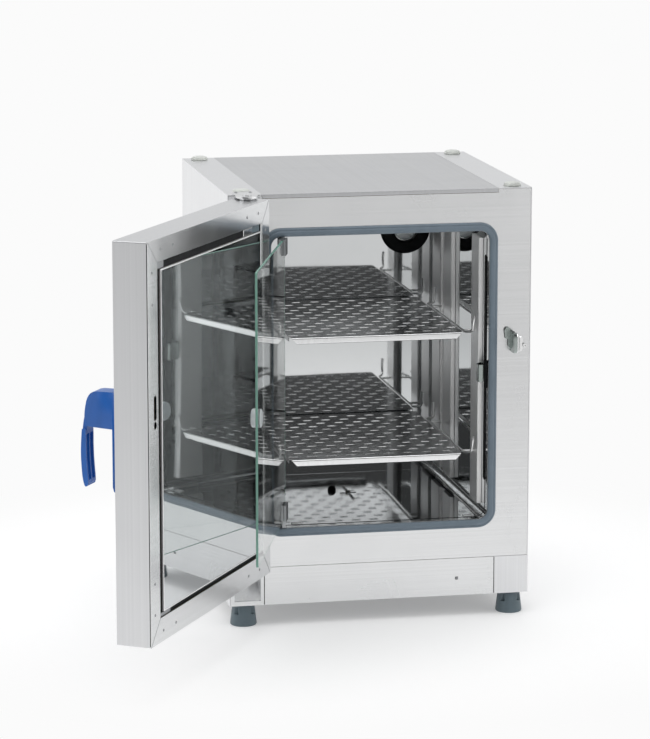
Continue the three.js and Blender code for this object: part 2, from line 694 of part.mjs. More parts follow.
function handleLever() {
  const arm = alongX([[out(20), 499], [out(20), 487], [out(30), 482], [out(46), 480], [out(46), 499],
    [out(30), 501]], 494.6, 509.4);
  const neck = alongX([[out(51), 446], [out(58.6), 446], [out(57.6), 455], [out(56.4), 463], [out(54.4), 472],
    [out(52), 481], [out(49), 491], [out(46.4), 498], [out(43), 501], [out(40), 500], [out(43), 490],
    [out(46), 480], [out(49.4), 464]], 491.3, 512.7);
  const grip = alongX([[out(49.6), 358.6], [out(52.4), 357.2], [out(54.4), 359], [out(56.2), 364], [out(58), 374],
    [out(59.2), 388], [out(60), 404], [out(60), 418], [out(59.2), 433], [out(58.3), 446.4], [out(57.9), 449.4],
    [out(57), 450], [out(51.6), 450], [out(51.2), 440], [out(51.3), 420], [out(50.8), 402], [out(49.8), 386],
    [out(48.6), 372], [out(48.3), 363]], 487, 517);
  const hollow = [[out(40), 365], [out(51.2), 369], [out(52.8), 388], [out(54.4), 404], [out(54.6), 440], [out(40), 446]];
  const axle = alongX(ring(LEVER.y, LEVER.z, 3, 16), 488.8, 515.2);
  return cut(join(arm, neck, grip, axle), alongX(hollow, 490, 500.4), alongX(hollow, 503.6, 514));
}

function latchPawl() {
  const { x, y, z } = PAWL;
  const body = alongX([[y - 5, z - 4], [y + 6, z - 4], [-18.4, z - 4], [-18, z - 6], [-12.4, z - 6],
    [-11.8, z - 3], [-11.8, z + 3], [y + 8, z + 4.5], [y - 5, z + 4.5]], x - 4, x + 4);
  const axle = alongX(ring(y, z, 3, 16), x - 12, x + 12);
  return join(body, axle);
}

function pawlHousing() {
  const { x, y, z } = PAWL;
  const bridge = box(x - 15, x + 15, out(-SHEET - 0.4), y - 8, z - 26, z + 14);
  const cheekA = box(x - 15, x - 5, out(-SHEET - 0.4), y + 8, z - 26, z + 14);
  const cheekB = box(x + 5, x + 15, out(-SHEET - 0.4), y + 8, z - 26, z + 14);
  return cut(join(bridge, cheekA, cheekB), alongX(ring(y, z, 3.3, 16), x - 13, x + 13));
}

// ---------------------------------------------------------------- glass door
function pane() {
  const { x0, x1, y0, y1, z0, z1 } = PANE;
  return cut(alongY(rounded(x0, z0, x1, z1, 4, 3), y0, y1), alongY(ring(KNOB_X, KNOB_Z, 4.3, 16), y0 - 5, y1 + 5));
}

function knob() {
  const k = turned([[0, -(PANE.y1 + 3.4)], [13.6, -(PANE.y1 + 3.4)], [15.6, -(PANE.y1 + 1.6)], [15.6, -(PANE.y1 + GAP)],
    [4, -(PANE.y1 + GAP)], [4, -(PANE.y0 - GAP)], [15.6, -(PANE.y0 - GAP)], [15.6, -(PANE.y0 - 7.5)],
    [14, -(PANE.y0 - 9.5)], [0, -(PANE.y0 - 9.5)]], 24);
  k.rotateX(Math.PI / 2);
  k.translate(KNOB_X, 0, KNOB_Z);
  return k;
}

function glassClamp(top) {
  const z = top ? PANE.z1 : PANE.z0;
  const s = top ? -1 : 1;
  const [a, b] = [z - s * (top ? 1.4 : 3), z + s * 26].sort((p, q) => p - q);
  const body = box(GLASS_HINGE.x - 4, PANE.x0 + 22, PANE.y0 - 4, PANE.y1 + 4, a, b);
  const slot = box(PANE.x0 - GAP, PANE.x0 + 40, PANE.y0 - GAP, PANE.y1 + GAP,
    top ? a - 5 : PANE.z0 - GAP, top ? PANE.z1 + GAP : b + 5);
  const eye = alongZ(ring(GLASS_HINGE.x, GLASS_HINGE.y, 6, 16), a, b);
  const bore = alongZ(ring(GLASS_HINGE.x, GLASS_HINGE.y, 3.3, 16), a - 5, b + 5);
  return cut(join(body, eye), slot, bore);
}

function glassBracket(top) {
  const m = MOUTH;
  const z = top ? m.z1 - 0.8 : m.z0 + 0.8;
  const s = top ? -1 : 1;
  const reach = top ? PANE.z1 - 18 : PANE.z0 + 18;
  const [p0, p1] = [z + s * 0.5, reach].sort((p, q) => p - q);
  const pin = alongZ(ring(GLASS_HINGE.x, GLASS_HINGE.y, 3, 16), p0, p1);
  const [b0, b1] = top ? [PANE.z1 + 1.7, z] : [z, PANE.z0 - 3.4];
  const plate = alongZ([[m.x0 + 14, 2.5], [GLASS_HINGE.x, -4], [GLASS_HINGE.x + 6, -2], [GLASS_HINGE.x + 8, 12],
    [m.x0 + 14, 30]], b0, b1);
  return join(plate, pin);
}

// ---------------------------------------------------------------- assembly
place('side_casing_left', sideCasing(false), 'painted_steel');
place('side_casing_right', sideCasing(true), 'painted_steel');
place('top_panel', topPanel(), 'painted_steel');
place('front_frame', frontFrame(), 'stainless');
place('plinth_panel', plinthPanel(), 'stainless');
place('base_plate', basePlate(), 'dark_steel');
place('rear_panel', rearPanel(), 'painted_steel');
place('lower_hinge_bracket', lowerHinge(), 'stainless');
place('upper_hinge_plate', upperHinge(), 'stainless');
place('chamber_liner', liner(), 'polished');
place('insulation', insulation(), 'foam');
place('chamber_gasket', gasket(), 'gasket');
place('striker', striker(), 'polished');
place('glass_seal_strip', box(MOUTH.x1 - 3, MOUTH.x1 - GAP, 13, 25, 238, 635), 'black_rubber');
place('glass_catch', glassCatch(), 'polished');
place('heater_element', heater(), 'heater');
place('temperature_probe', temperatureProbe(), 'stainless');
place('control_board', controlBoard(), 'board');
place('power_inlet', powerInlet(), 'black_rubber');
FOOT.forEach((x, i) => FOOT_Y.forEach((y, j) => {
  const where = `${j ? 'rear' : 'front'}_${i ? 'right' : 'left'}`;
  place(`foot_${where}`, foot(x, y), 'slate_plastic');
  place(`stacking_pad_${where}`, stackingPad(x, j ? y : y + 4), 'pad');
}));
UPRIGHT_Y.forEach((span, j) => {
  place(`upright_left_${j ? 'rear' : 'front'}`, upright(false, j), 'stainless');
  place(`upright_right_${j ? 'rear' : 'front'}`, upright(true, j), 'stainless');
});
SHELF_Z.forEach((z, i) => {
  const level = i ? 'lower' : 'upper';
  place(`shelf_${level}`, shelf(z), 'stainless');
  place(`support_${level}_left`, join(wireSupport(false, z), ...supportPegs(false, z)), 'polished');
  place(`support_${level}_right`, join(wireSupport(true, z), ...supportPegs(true, z)), 'polished');
});
place('port_ring', portRing(), 'black_rubber');
place('port_tube', portTube(), 'polished');
place('port_plug', portPlug(), 'frosted');

const door = (part) => swing(part.isBufferGeometry ? solid(part) : part, HINGE, DOOR_OPEN);
place('door_skin', door(doorSkin()), 'painted_steel');
for (const side of ['top', 'bottom', 'hinge', 'free']) {
  place(`door_frame_${side}`, door(frameMember(side)), 'stainless');
}
place('door_gap_seal', door(gapSeal()), 'black_rubber');
place('door_mirror_panel', door(mirrorPanel()), 'polished');
place('door_insulation', door(doorFoam()), 'foam');
place('control_panel', door(controlPanel()), 'panel');
place('display_window', door(display()), 'glass');
place('handle_base', door(handleBase()), 'blue_plastic');
place('handle_lever', door(handleLever()), 'blue_plastic');
place('latch_housing', door(pawlHousing()), 'dark_steel');
place('latch_pawl', door(latchPawl()), 'dark_steel');

const glassDoor = (part) => swing(part.isBufferGeometry ? solid(part) : part, GLASS_HINGE, GLASS_OPEN);
place('glass_pane', glassDoor(pane()), 'glass');
place('glass_knob', glassDoor(knob()), 'frosted');
place('glass_clamp_upper', glassDoor(glassClamp(true)), 'stainless');
place('glass_clamp_lower', glassDoor(glassClamp(false)), 'stainless');
place('glass_bracket_upper', glassBracket(true), 'dark_steel');
place('glass_bracket_lower', glassBracket(false), 'dark_steel');

// move everything to the shared origin
const bounds = new THREE.Box3().setFromObject(group);
const cx = (bounds.min.x + bounds.max.x) / 2;
const cy = (bounds.min.y + bounds.max.y) / 2;
for (const mesh of group.children) {
  mesh.geometry.translate(-cx, -cy, -bounds.min.z);
}

export default group;
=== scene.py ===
# %% [markdown]
# # A bench incubator with both of its doors open
# The object is a double-walled steel cabinet. The sheet-metal boxes, hinges and everything that
# moves are already modelled and packed, and this lesson loads them as a fixed frame. What is left
# is what a metal worker and a finisher add: rounded edges, brushed and polished steel, rubber,
# moulded plastic, glass, rivets, screws, punched shelves and bent wire.

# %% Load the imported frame
import json
import math

import bmesh
import bpy
from mathutils import Matrix, Vector


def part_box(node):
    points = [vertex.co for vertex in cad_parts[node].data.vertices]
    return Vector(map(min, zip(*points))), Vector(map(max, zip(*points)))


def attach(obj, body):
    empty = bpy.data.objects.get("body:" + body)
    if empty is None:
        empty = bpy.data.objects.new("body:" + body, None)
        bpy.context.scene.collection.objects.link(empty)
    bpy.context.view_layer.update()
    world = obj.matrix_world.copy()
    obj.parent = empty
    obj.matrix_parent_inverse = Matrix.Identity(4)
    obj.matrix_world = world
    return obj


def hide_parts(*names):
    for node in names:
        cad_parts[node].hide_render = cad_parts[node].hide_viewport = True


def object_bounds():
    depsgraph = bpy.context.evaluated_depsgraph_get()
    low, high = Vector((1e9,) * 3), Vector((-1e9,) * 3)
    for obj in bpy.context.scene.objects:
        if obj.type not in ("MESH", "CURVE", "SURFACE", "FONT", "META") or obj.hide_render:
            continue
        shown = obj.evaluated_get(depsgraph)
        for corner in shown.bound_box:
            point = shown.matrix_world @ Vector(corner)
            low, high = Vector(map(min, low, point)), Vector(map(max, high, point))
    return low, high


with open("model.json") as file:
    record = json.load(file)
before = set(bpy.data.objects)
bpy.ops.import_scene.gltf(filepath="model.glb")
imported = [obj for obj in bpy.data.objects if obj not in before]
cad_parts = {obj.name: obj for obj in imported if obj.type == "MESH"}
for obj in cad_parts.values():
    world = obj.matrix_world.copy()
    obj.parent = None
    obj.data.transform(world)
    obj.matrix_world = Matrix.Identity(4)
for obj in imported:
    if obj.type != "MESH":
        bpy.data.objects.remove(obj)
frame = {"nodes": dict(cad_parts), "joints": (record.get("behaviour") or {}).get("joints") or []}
cad_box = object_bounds()
nodes = frame["nodes"]

# %% [markdown]
# ## Three drawing boards
# A cabinet is easiest to draw in millimetres from its own front left corner, and a door is easiest
# to draw shut. So every piece is drawn on one of three boards, and a matrix carries it to where it
# stands: the cabinet board only shifts, and each door board also swings by the angle at which its
# hinge rests open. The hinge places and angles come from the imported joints.

# %% The boards
MM = 0.001
casing_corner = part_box("side_casing_left")[0]
CABINET = Matrix.Translation((casing_corner.x, casing_corner.y, 0)) @ Matrix.Scale(MM, 4)
joints = {joint["name"]: joint for joint in frame["joints"]}


def board_behind(joint_name):
    """The drawing board of a door that is drawn shut and stands open."""
    joint = joints[joint_name]
    pivot = Vector(joint["pos_m"])
    swing = Matrix.Rotation(-math.radians(joint["range_deg"][0]), 4, Vector(joint["axis"]))
    return Matrix.Translation(pivot) @ swing @ Matrix.Translation(-pivot) @ CABINET


DOOR = board_behind("outer_door_hinge")
GLASS = board_behind("glass_door_hinge")


def measured(node, board=CABINET):
    """Lowest and highest corner of a frame node, in millimetres on its board."""
    back = board.inverted()
    points = [back @ v.co for v in nodes[node].data.vertices]
    low = Vector([min(p[i] for p in points) for i in range(3)])
    high = Vector([max(p[i] for p in points) for i in range(3)])
    return low, high


body_low, body_high = measured("side_casing_left")
WIDTH = measured("side_casing_right")[1].x
DEPTH = body_high.y
TOP = body_high.z
door_low, door_high = measured("door_skin", DOOR)
DOOR_FACE = measured("door_frame_top", DOOR)[1].y
mouth_low = measured("chamber_liner")[0]
DOOR_WIDTH = door_high.x - door_low.x
print("cabinet %.0f x %.0f mm, top at %.0f, door %.0f mm wide" % (WIDTH, DEPTH, TOP, DOOR_WIDTH))

# %% [markdown]
# ## Making the meshes
# Sheet metal is a thin outline with holes, pushed to a thickness. Seals, lips and rims are one
# section carried round a path. Screws, rings and knobs are turned on a lathe. Wire is a round tube
# along a bent line. Four small helpers cover all of them. A sharp edge never looks like metal, so
# many meshes get a narrow bevel, and each gets normals that favour the large faces.

# %% Placing a piece
made = []


def settle(obj, bevel, segments=2):
    """Rounds the sharp edges of a mesh and lets the light run smoothly over them."""
    if bevel:
        edge = obj.modifiers.new("rounded edges", "BEVEL")
        edge.width = bevel * MM
        edge.segments = segments
        edge.limit_method = "ANGLE"
        edge.angle_limit = math.radians(38)
    normals = obj.modifiers.new("even normals", "WEIGHTED_NORMAL")
    normals.weight = 80
    obj.data.shade_smooth()


def place(name, mesh, body, finish, board=CABINET, bevel=0.0, stands_for=()):
    """Puts a finished mesh on its board, gives it its material and lets it ride on its body."""
    mesh.transform(board)
    mesh.name = name
    for material in finish if isinstance(finish, (list, tuple)) else [finish]:
        mesh.materials.append(material)
    obj = bpy.data.objects.new(name, mesh)
    bpy.context.scene.collection.objects.link(obj)
    settle(obj, bevel)
    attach(obj, body)
    if stands_for:
        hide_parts(*stands_for)
    made.append(name)
    return obj


# %% Meshes from bmesh
def closed_mesh(bm):
    """Turns a bmesh into a mesh with its faces looking out."""
    bmesh.ops.remove_doubles(bm, verts=bm.verts, dist=0.001)
    bmesh.ops.recalc_face_normals(bm, faces=bm.faces)
    mesh = bpy.data.meshes.new("work")
    bm.to_mesh(mesh)
    bm.free()
    return mesh


def carry(rings, closed_path=False, closed_section=True, capped=True):
    """Skins a list of equal rings of points, like laying strips round a set of hoops."""
    bm = bmesh.new()
    rows = [[bm.verts.new(p) for p in ring] for ring in rings]
    turns = len(rows) if closed_path else len(rows) - 1
    count = len(rows[0])
    steps = count if closed_section else count - 1
    for i in range(turns):
        a, b = rows[i], rows[(i + 1) % len(rows)]
        for k in range(steps):
            bm.faces.new((a[k], a[(k + 1) % count], b[(k + 1) % count], b[k]))
    if capped and not closed_path:
        bm.faces.new(list(reversed(rows[0])))
        bm.faces.new(rows[-1])
    return closed_mesh(bm)


def turned(profile, place_at, axis="Z", sides=32):
    """A lathe: (radius, height) points turned about an axis through a point."""
    spin = {"Z": Matrix.Identity(3), "Y": Matrix.Rotation(math.radians(90), 3, "X"),
            "X": Matrix.Rotation(math.radians(90), 3, "Y")}[axis]
    bm = bmesh.new()
    rows = []
    for radius, height in profile:
        if radius == 0:
            rows.append([bm.verts.new(spin @ Vector((0, 0, height)) + Vector(place_at))])
            continue
        ring = []
        for k in range(sides):
            t = math.tau * k / sides
            p = Vector((radius * math.cos(t), radius * math.sin(t), height))
            ring.append(bm.verts.new(spin @ p + Vector(place_at)))
        rows.append(ring)
    for a, b in zip(rows, rows[1:]):
        for k in range(sides):
            j = (k + 1) % sides
            corners = [a[k % len(a)], a[j % len(a)], b[j % len(b)], b[k % len(b)]]
            corners = list(dict.fromkeys(corners))
            if len(corners) > 2:
                bm.faces.new(corners)
    return closed_mesh(bm)


def together(*meshes):
    """Several loose meshes as one, such as the rivets of one door."""
    bm = bmesh.new()
    for mesh in meshes:
        bm.from_mesh(mesh)
        bpy.data.meshes.remove(mesh)
    joined = bpy.data.meshes.new("work")
    bm.to_mesh(joined)
    bm.free()
    return joined


# %% Meshes from curves
def from_curve(curve):
    """The mesh that a curve object shows."""
    obj = bpy.data.objects.new("bench", curve)
    bpy.context.scene.collection.objects.link(obj)
    bpy.context.view_layer.update()
    shown = obj.evaluated_get(bpy.context.evaluated_depsgraph_get())
    mesh = bpy.data.meshes.new_from_object(shown)
    bpy.data.objects.remove(obj)
    bpy.data.curves.remove(curve)
    bm = bmesh.new()
    bm.from_mesh(mesh)
    bpy.data.meshes.remove(mesh)
    return closed_mesh(bm)


def sheet(outline, holes, thickness, facing="Z", at=0.0, round_over=0.25):
    """A punched plate: a flat outline with holes, pushed to a thickness. The hole rims are rounded."""
    curve = bpy.data.curves.new("outline", "CURVE")
    curve.dimensions = "2D"
    curve.fill_mode = "BOTH"
    curve.extrude = thickness / 2 - round_over
    curve.bevel_depth = round_over
    curve.bevel_resolution = 1
    curve.offset = -round_over
    for points in [outline, *holes]:
        spline = curve.splines.new("POLY")
        spline.points.add(len(points) - 1)
        for point, (a, b) in zip(spline.points, points):
            point.co = (a, b, 0, 1)
        spline.use_cyclic_u = True
    mesh = from_curve(curve)
    middle = at + thickness / 2
    if facing == "Z":
        mesh.transform(Matrix.Translation((0, 0, middle)))
    elif facing == "Y":
        mesh.transform(Matrix.Translation((0, middle, 0)) @ Matrix.Rotation(math.radians(90), 4, "X"))
    else:
        turn = Matrix(((0, 0, 1, middle), (1, 0, 0, 0), (0, 1, 0, 0), (0, 0, 0, 1)))
        mesh.transform(turn)
    return mesh


def bent(points, bend, steps=6):
    """A line through corner points with each corner turned at the same radius."""
    path = [Vector(points[0])]
    corners = [Vector(p) for p in points]
    for before, corner, after in zip(corners, corners[1:], corners[2:]):
        start = corner + (before - corner).normalized() * bend
        end = corner + (after - corner).normalized() * bend
        for i in range(steps + 1):
            t = i / steps
            path.append(start * (1 - t) ** 2 + corner * 2 * t * (1 - t) + end * t ** 2)
    path.append(corners[-1])
    return path


def wire(points, radius, sides=3):
    """Round bar along a line, with closed ends."""
    curve = bpy.data.curves.new("line", "CURVE")
    curve.dimensions = "3D"
    curve.bevel_depth = radius
    curve.bevel_resolution = sides
    curve.use_fill_caps = True
    spline = curve.splines.new("POLY")
    spline.points.add(len(points) - 1)
    for point, p in zip(spline.points, points):
        point.co = (*p, 1)
    return from_curve(curve)


# %% Outlines
def rounded(a0, b0, a1, b1, r, steps=8):
    """Corner points of a rounded rectangle, each with the way that faces out of the corner."""
    points = []
    corners = ((a1 - r, b0 + r, -90), (a1 - r, b1 - r, 0), (a0 + r, b1 - r, 90), (a0 + r, b0 + r, 180))
    for ca, cb, start in corners:
        for i in range(steps + 1):
            t = math.radians(start + 90 * i / steps)
            points.append((ca + r * math.cos(t), cb + r * math.sin(t), math.cos(t), math.sin(t)))
    return points


def flat(points):
    return [(p[0], p[1]) for p in points]


def stadium(ca, cb, length, width, steps=6):
    """A slot with round ends, longer along the first direction."""
    a0, a1 = ca - length / 2, ca + length / 2
    b0, b1 = cb - width / 2, cb + width / 2
    return flat(rounded(a0, b0, a1, b1, width / 2 - 0.01, steps))


def round_frame(section, x0, z0, x1, z1, r, steps=10):
    """Carries an (outward, y) section round a rounded rectangle that stands in the x, z plane."""
    hoops = []
    for x, z, dx, dz in rounded(x0, z0, x1, z1, r, steps):
        hoops.append([Vector((x + dx * out, y, z + dz * out)) for out, y in section])
    return carry(hoops, closed_path=True)


print("helpers ready")

# %% [markdown]
# ## Effects that several finishes share
# Real sheet metal shows four things at once: a fine grain from the brushing belt, a faint cloudiness
# from handling, a slow waviness, and edges a little brighter than the faces. Each effect is a small
# node group with a few dials, built once and used by every finish with its own values. A group only
# hands out numbers or normals, so the shaders themselves stay in the materials.

# %% Building node groups
def new_group(name, inputs, outputs):
    """An empty shader node group with named sockets. Inputs are (name, kind, default)."""
    tree = bpy.data.node_groups.new(name, "ShaderNodeTree")
    for label, kind, default in inputs:
        socket = tree.interface.new_socket(name=label, in_out="INPUT", socket_type=kind)
        socket.default_value = default
    for label, kind in outputs:
        tree.interface.new_socket(name=label, in_out="OUTPUT", socket_type=kind)
    return tree, tree.nodes.new("NodeGroupInput"), tree.nodes.new("NodeGroupOutput")


def add(tree, kind, **values):
    """A node with some of its settings or unlinked inputs set."""
    node = tree.nodes.new("ShaderNode" + kind)
    for key, value in values.items():
        if key in node.inputs:
            node.inputs[key].default_value = value
        else:
            setattr(node, key, value)
    return node


def stretch_noise(tree, coordinates, stretch, scale, detail=3.0, roughness=0.6):
    """Noise whose grain is pulled long by scaling the coordinates first."""
    pull = add(tree, "VectorMath", operation="MULTIPLY")
    tree.links.new(coordinates, pull.inputs[0])
    if isinstance(stretch, bpy.types.NodeSocket):
        tree.links.new(stretch, pull.inputs[1])
    else:
        pull.inputs[1].default_value = stretch
    noise = add(tree, "TexNoise", Scale=scale, Detail=detail, Roughness=roughness)
    tree.links.new(pull.outputs[0], noise.inputs["Vector"])
    return noise


# %% Brushed grain
def brushed_grain():
    """Fine streaks. Stretch is high across the brushing and low along it."""
    tree, start, end = new_group(
        "Brushed Grain", [("Stretch", "NodeSocketVector", (6.0, 6.0, 900.0))],
        [("Streaks", "NodeSocketFloat"), ("Broad", "NodeSocketFloat")])
    where = add(tree, "TexCoord")
    fine = stretch_noise(tree, where.outputs["Object"], start.outputs["Stretch"], 1.0, 2.0, 0.55)
    broad = stretch_noise(tree, where.outputs["Object"], start.outputs["Stretch"], 0.13, 2.0, 0.5)
    tree.links.new(fine.outputs["Fac"], end.inputs["Streaks"])
    tree.links.new(broad.outputs["Fac"], end.inputs["Broad"])
    return tree


# %% Handling marks, waviness and edges
def handling_marks():
    """Soft clouds of fingerprints and wiping: 0 is clean, 1 is a mark."""
    tree, start, end = new_group(
        "Handling Marks", [("Size", "NodeSocketFloat", 9.0)], [("Marks", "NodeSocketFloat")])
    where = add(tree, "TexCoord")
    clouds = add(tree, "TexNoise", Detail=5.0, Roughness=0.62, Distortion=0.6)
    tree.links.new(where.outputs["Object"], clouds.inputs["Vector"])
    tree.links.new(start.outputs["Size"], clouds.inputs["Scale"])
    shaped = add(tree, "MapRange", **{"From Min": 0.42, "From Max": 0.72})
    tree.links.new(clouds.outputs["Fac"], shaped.inputs["Value"])
    tree.links.new(shaped.outputs["Result"], end.inputs["Marks"])
    return tree


def sheet_waviness():
    """The slow waves that thin polished sheet keeps after pressing."""
    tree, start, end = new_group(
        "Sheet Waviness", [("Scale", "NodeSocketFloat", 5.0)], [("Height", "NodeSocketFloat")])
    where = add(tree, "TexCoord")
    waves = add(tree, "TexNoise", Detail=1.0, Roughness=0.35, Distortion=0.4)
    tree.links.new(where.outputs["Object"], waves.inputs["Vector"])
    tree.links.new(start.outputs["Scale"], waves.inputs["Scale"])
    tree.links.new(waves.outputs["Fac"], end.inputs["Height"])
    return tree


def edge_wear():
    """1 on edges and corners, 0 on open faces, broken up so that it isn't a drawn line."""
    tree, start, end = new_group(
        "Edge Wear", [("Radius", "NodeSocketFloat", 0.0012)], [("Edge", "NodeSocketFloat")])
    soft = add(tree, "Bevel", samples=4)
    tree.links.new(start.outputs["Radius"], soft.inputs["Radius"])
    hard = add(tree, "NewGeometry")
    facing = add(tree, "VectorMath", operation="DOT_PRODUCT")
    tree.links.new(soft.outputs["Normal"], facing.inputs[0])
    tree.links.new(hard.outputs["Normal"], facing.inputs[1])
    turned_away = add(tree, "MapRange", **{"From Min": 0.995, "From Max": 0.86})
    tree.links.new(facing.outputs["Value"], turned_away.inputs["Value"])
    where = add(tree, "TexCoord")
    breaks = add(tree, "TexNoise", Scale=140.0, Detail=3.0)
    tree.links.new(where.outputs["Object"], breaks.inputs["Vector"])
    broken = add(tree, "MapRange", **{"From Min": 0.3, "From Max": 0.6, "To Min": 0.35})
    tree.links.new(breaks.outputs["Fac"], broken.inputs["Value"])
    both = add(tree, "Math", operation="MULTIPLY")
    tree.links.new(turned_away.outputs["Result"], both.inputs[0])
    tree.links.new(broken.outputs["Result"], both.inputs[1])
    tree.links.new(both.outputs[0], end.inputs["Edge"])
    return tree


def moulded_skin():
    """The spark-eroded grain of a moulding tool, as a height."""
    tree, start, end = new_group(
        "Moulded Skin", [("Scale", "NodeSocketFloat", 1600.0)], [("Height", "NodeSocketFloat")])
    where = add(tree, "TexCoord")
    cells = add(tree, "TexVoronoi", feature="SMOOTH_F1")
    tree.links.new(where.outputs["Object"], cells.inputs["Vector"])
    tree.links.new(start.outputs["Scale"], cells.inputs["Scale"])
    tree.links.new(cells.outputs["Distance"], end.inputs["Height"])
    return tree


GRAIN, MARKS, WAVES = brushed_grain(), handling_marks(), sheet_waviness()
WEAR, SKIN = edge_wear(), moulded_skin()
print("node groups:", [g.name for g in bpy.data.node_groups])


# %% Wiring a material
def use(tree, group, **values):
    """A group placed in a material with its dials set."""
    node = tree.nodes.new("ShaderNodeGroup")
    node.node_tree = group
    for key, value in values.items():
        node.inputs[key.replace("_", " ")].default_value = value
    return node


def blended(tree, factor, low, high):
    """Runs from one number to another as factor goes from 0 to 1."""
    span = add(tree, "MapRange", **{"To Min": low, "To Max": high})
    tree.links.new(factor, span.inputs["Value"])
    return span.outputs["Result"]


def tinted(tree, factor, base, other):
    """A colour that goes from base to other as factor goes from 0 to 1."""
    mix = add(tree, "Mix", data_type="RGBA")
    tree.links.new(factor, mix.inputs["Factor"])
    mix.inputs[6].default_value = (*base, 1)
    mix.inputs[7].default_value = (*other, 1)
    return mix.outputs[2]


def summed(tree, a, b):
    total = add(tree, "Math", operation="ADD", use_clamp=True)
    tree.links.new(a, total.inputs[0])
    tree.links.new(b, total.inputs[1])
    return total.outputs[0]


def raised(tree, height, distance, strength=1.0, under=None):
    """A bump from a height, on top of an earlier bump if there is one."""
    bump = add(tree, "Bump", Strength=strength, Distance=distance)
    tree.links.new(height, bump.inputs["Height"])
    if under:
        tree.links.new(under, bump.inputs["Normal"])
    return bump.outputs["Normal"]


def empty_material(name):
    """A material with its Principled shader, ready for wiring."""
    material = bpy.data.materials.new(name)
    material.use_nodes = True
    shader = material.node_tree.nodes["Principled BSDF"]
    return material, material.node_tree, shader


# %% [markdown]
# ## Steel
# All the metal is stainless or zinc-plated sheet, and what differs is how it was finished. The
# casing and the front are brushed, so they show streaks along the belt. The chamber is polished, so
# it is nearly a mirror, but thin sheet is never flat, and its reflections swim. One function makes
# all of them: a tint, a roughness, a direction for the grain, and how deep grain and waves go. With
# its streak at zero a finish is polished, and only faint marks and waves vary it. The top panel is
# the casing's steel with a darker tint, which is painted shade.

# %% Steel finishes
ACROSS_UPRIGHT = (6.0, 6.0, 2600.0)
ALONG_DEPTH = (2600.0, 6.0, 6.0)
UP_AND_DOWN = (2600.0, 2600.0, 6.0)


def steel(name, tint, roughness, stretch, grain=0.000003, waves=0.0, wave_scale=5.0, marks=0.05, streak=0.03,
          wear=0.1):
    material, tree, shader = empty_material(name)
    shader.inputs["Metallic"].default_value = 1.0
    streaks = use(tree, GRAIN, Stretch=stretch)
    cloud = use(tree, MARKS)
    edge = use(tree, WEAR)
    darker = tuple(c * (1 - streak) for c in tint)
    brighter = tuple(min(1.0, c * 1.12) for c in tint)
    base = tinted(tree, streaks.outputs["Broad"] if streak else cloud.outputs["Marks"], darker,
                  brighter if streak else tuple(c * 0.97 for c in tint))
    worn = add(tree, "Mix", data_type="RGBA")
    tree.links.new(base, worn.inputs[6])
    worn.inputs[7].default_value = (*[min(1.0, c * 1.2) for c in tint], 1)
    tree.links.new(blended(tree, edge.outputs["Edge"], 0.0, wear * 4), worn.inputs["Factor"])
    tree.links.new(worn.outputs[2], shader.inputs["Base Color"])
    if streak:
        rough = summed(tree, blended(tree, streaks.outputs["Streaks"], roughness * 0.9, roughness * 1.1),
                       blended(tree, cloud.outputs["Marks"], 0.0, marks))
    else:
        rough = blended(tree, cloud.outputs["Marks"], roughness, roughness + marks)
    tree.links.new(rough, shader.inputs["Roughness"])
    normal = raised(tree, streaks.outputs["Streaks"], grain) if grain else None
    if waves:
        wave = use(tree, WAVES, Scale=wave_scale)
        normal = raised(tree, wave.outputs["Height"], waves, under=normal)
    if normal:
        tree.links.new(normal, shader.inputs["Normal"])
    return material


casing_steel = steel("casing_steel", (0.74, 0.745, 0.755), 0.30, UP_AND_DOWN, waves=0.0008, wave_scale=2.5)
# Same steel as the sides, with a darker tint: painted shade for the dimmer look of the top panel.
top_steel_painted_shade = steel("top_steel_painted_shade", (0.56, 0.565, 0.575), 0.30, ALONG_DEPTH, waves=0.0008, wave_scale=2.5)
front_steel = steel("front_steel", (0.72, 0.725, 0.73), 0.24, ACROSS_UPRIGHT, waves=0.0006, wave_scale=3.0)
door_steel = steel("door_steel", (0.72, 0.725, 0.73), 0.18, ACROSS_UPRIGHT, waves=0.0008, wave_scale=3.0)
skin_steel = steel("skin_steel", (0.66, 0.665, 0.675), 0.30, UP_AND_DOWN, waves=0.0008, wave_scale=2.5)
liner_steel = steel("liner_steel", (0.72, 0.735, 0.74), 0.03, UP_AND_DOWN, grain=0.0, waves=0.0012,
                    wave_scale=3.0, marks=0.03, streak=0.0)
bright_steel = steel("bright_steel", (0.86, 0.86, 0.86), 0.12, UP_AND_DOWN, waves=0.0004)
satin_steel = steel("satin_steel", (0.92, 0.92, 0.92), 0.50, UP_AND_DOWN)
rod_steel = steel("rod_steel", (0.97, 0.97, 0.97), 0.30, ALONG_DEPTH)
keeper_steel = steel("keeper_steel", (0.36, 0.40, 0.385), 0.22, UP_AND_DOWN)
shelf_steel = steel("shelf_steel", (0.80, 0.805, 0.81), 0.20, ALONG_DEPTH, waves=0.0010, wave_scale=8.0)
mirror_steel = steel("mirror_steel", (0.72, 0.74, 0.75), 0.02, UP_AND_DOWN, grain=0.0, waves=0.0008,
                     wave_scale=3.0, marks=0.02, streak=0.0)
zinc_steel = steel("zinc_steel", (0.34, 0.35, 0.36), 0.38, UP_AND_DOWN, marks=0.12, streak=0.10, wear=0.2)
print("steel finishes made")

# %% [markdown]
# ## Rubber, plastic, glass and what is inside
# Rubber is dull with a soft sheen at glancing angles. Moulded plastic has a fine tool grain, which
# breaks up its gloss, and its corners polish with use. Glass is clear inside and green along its
# edge, where light travels far through it. The foam and the circuit board are hidden in use, but
# they are finished too, because the cabinet can be opened up.

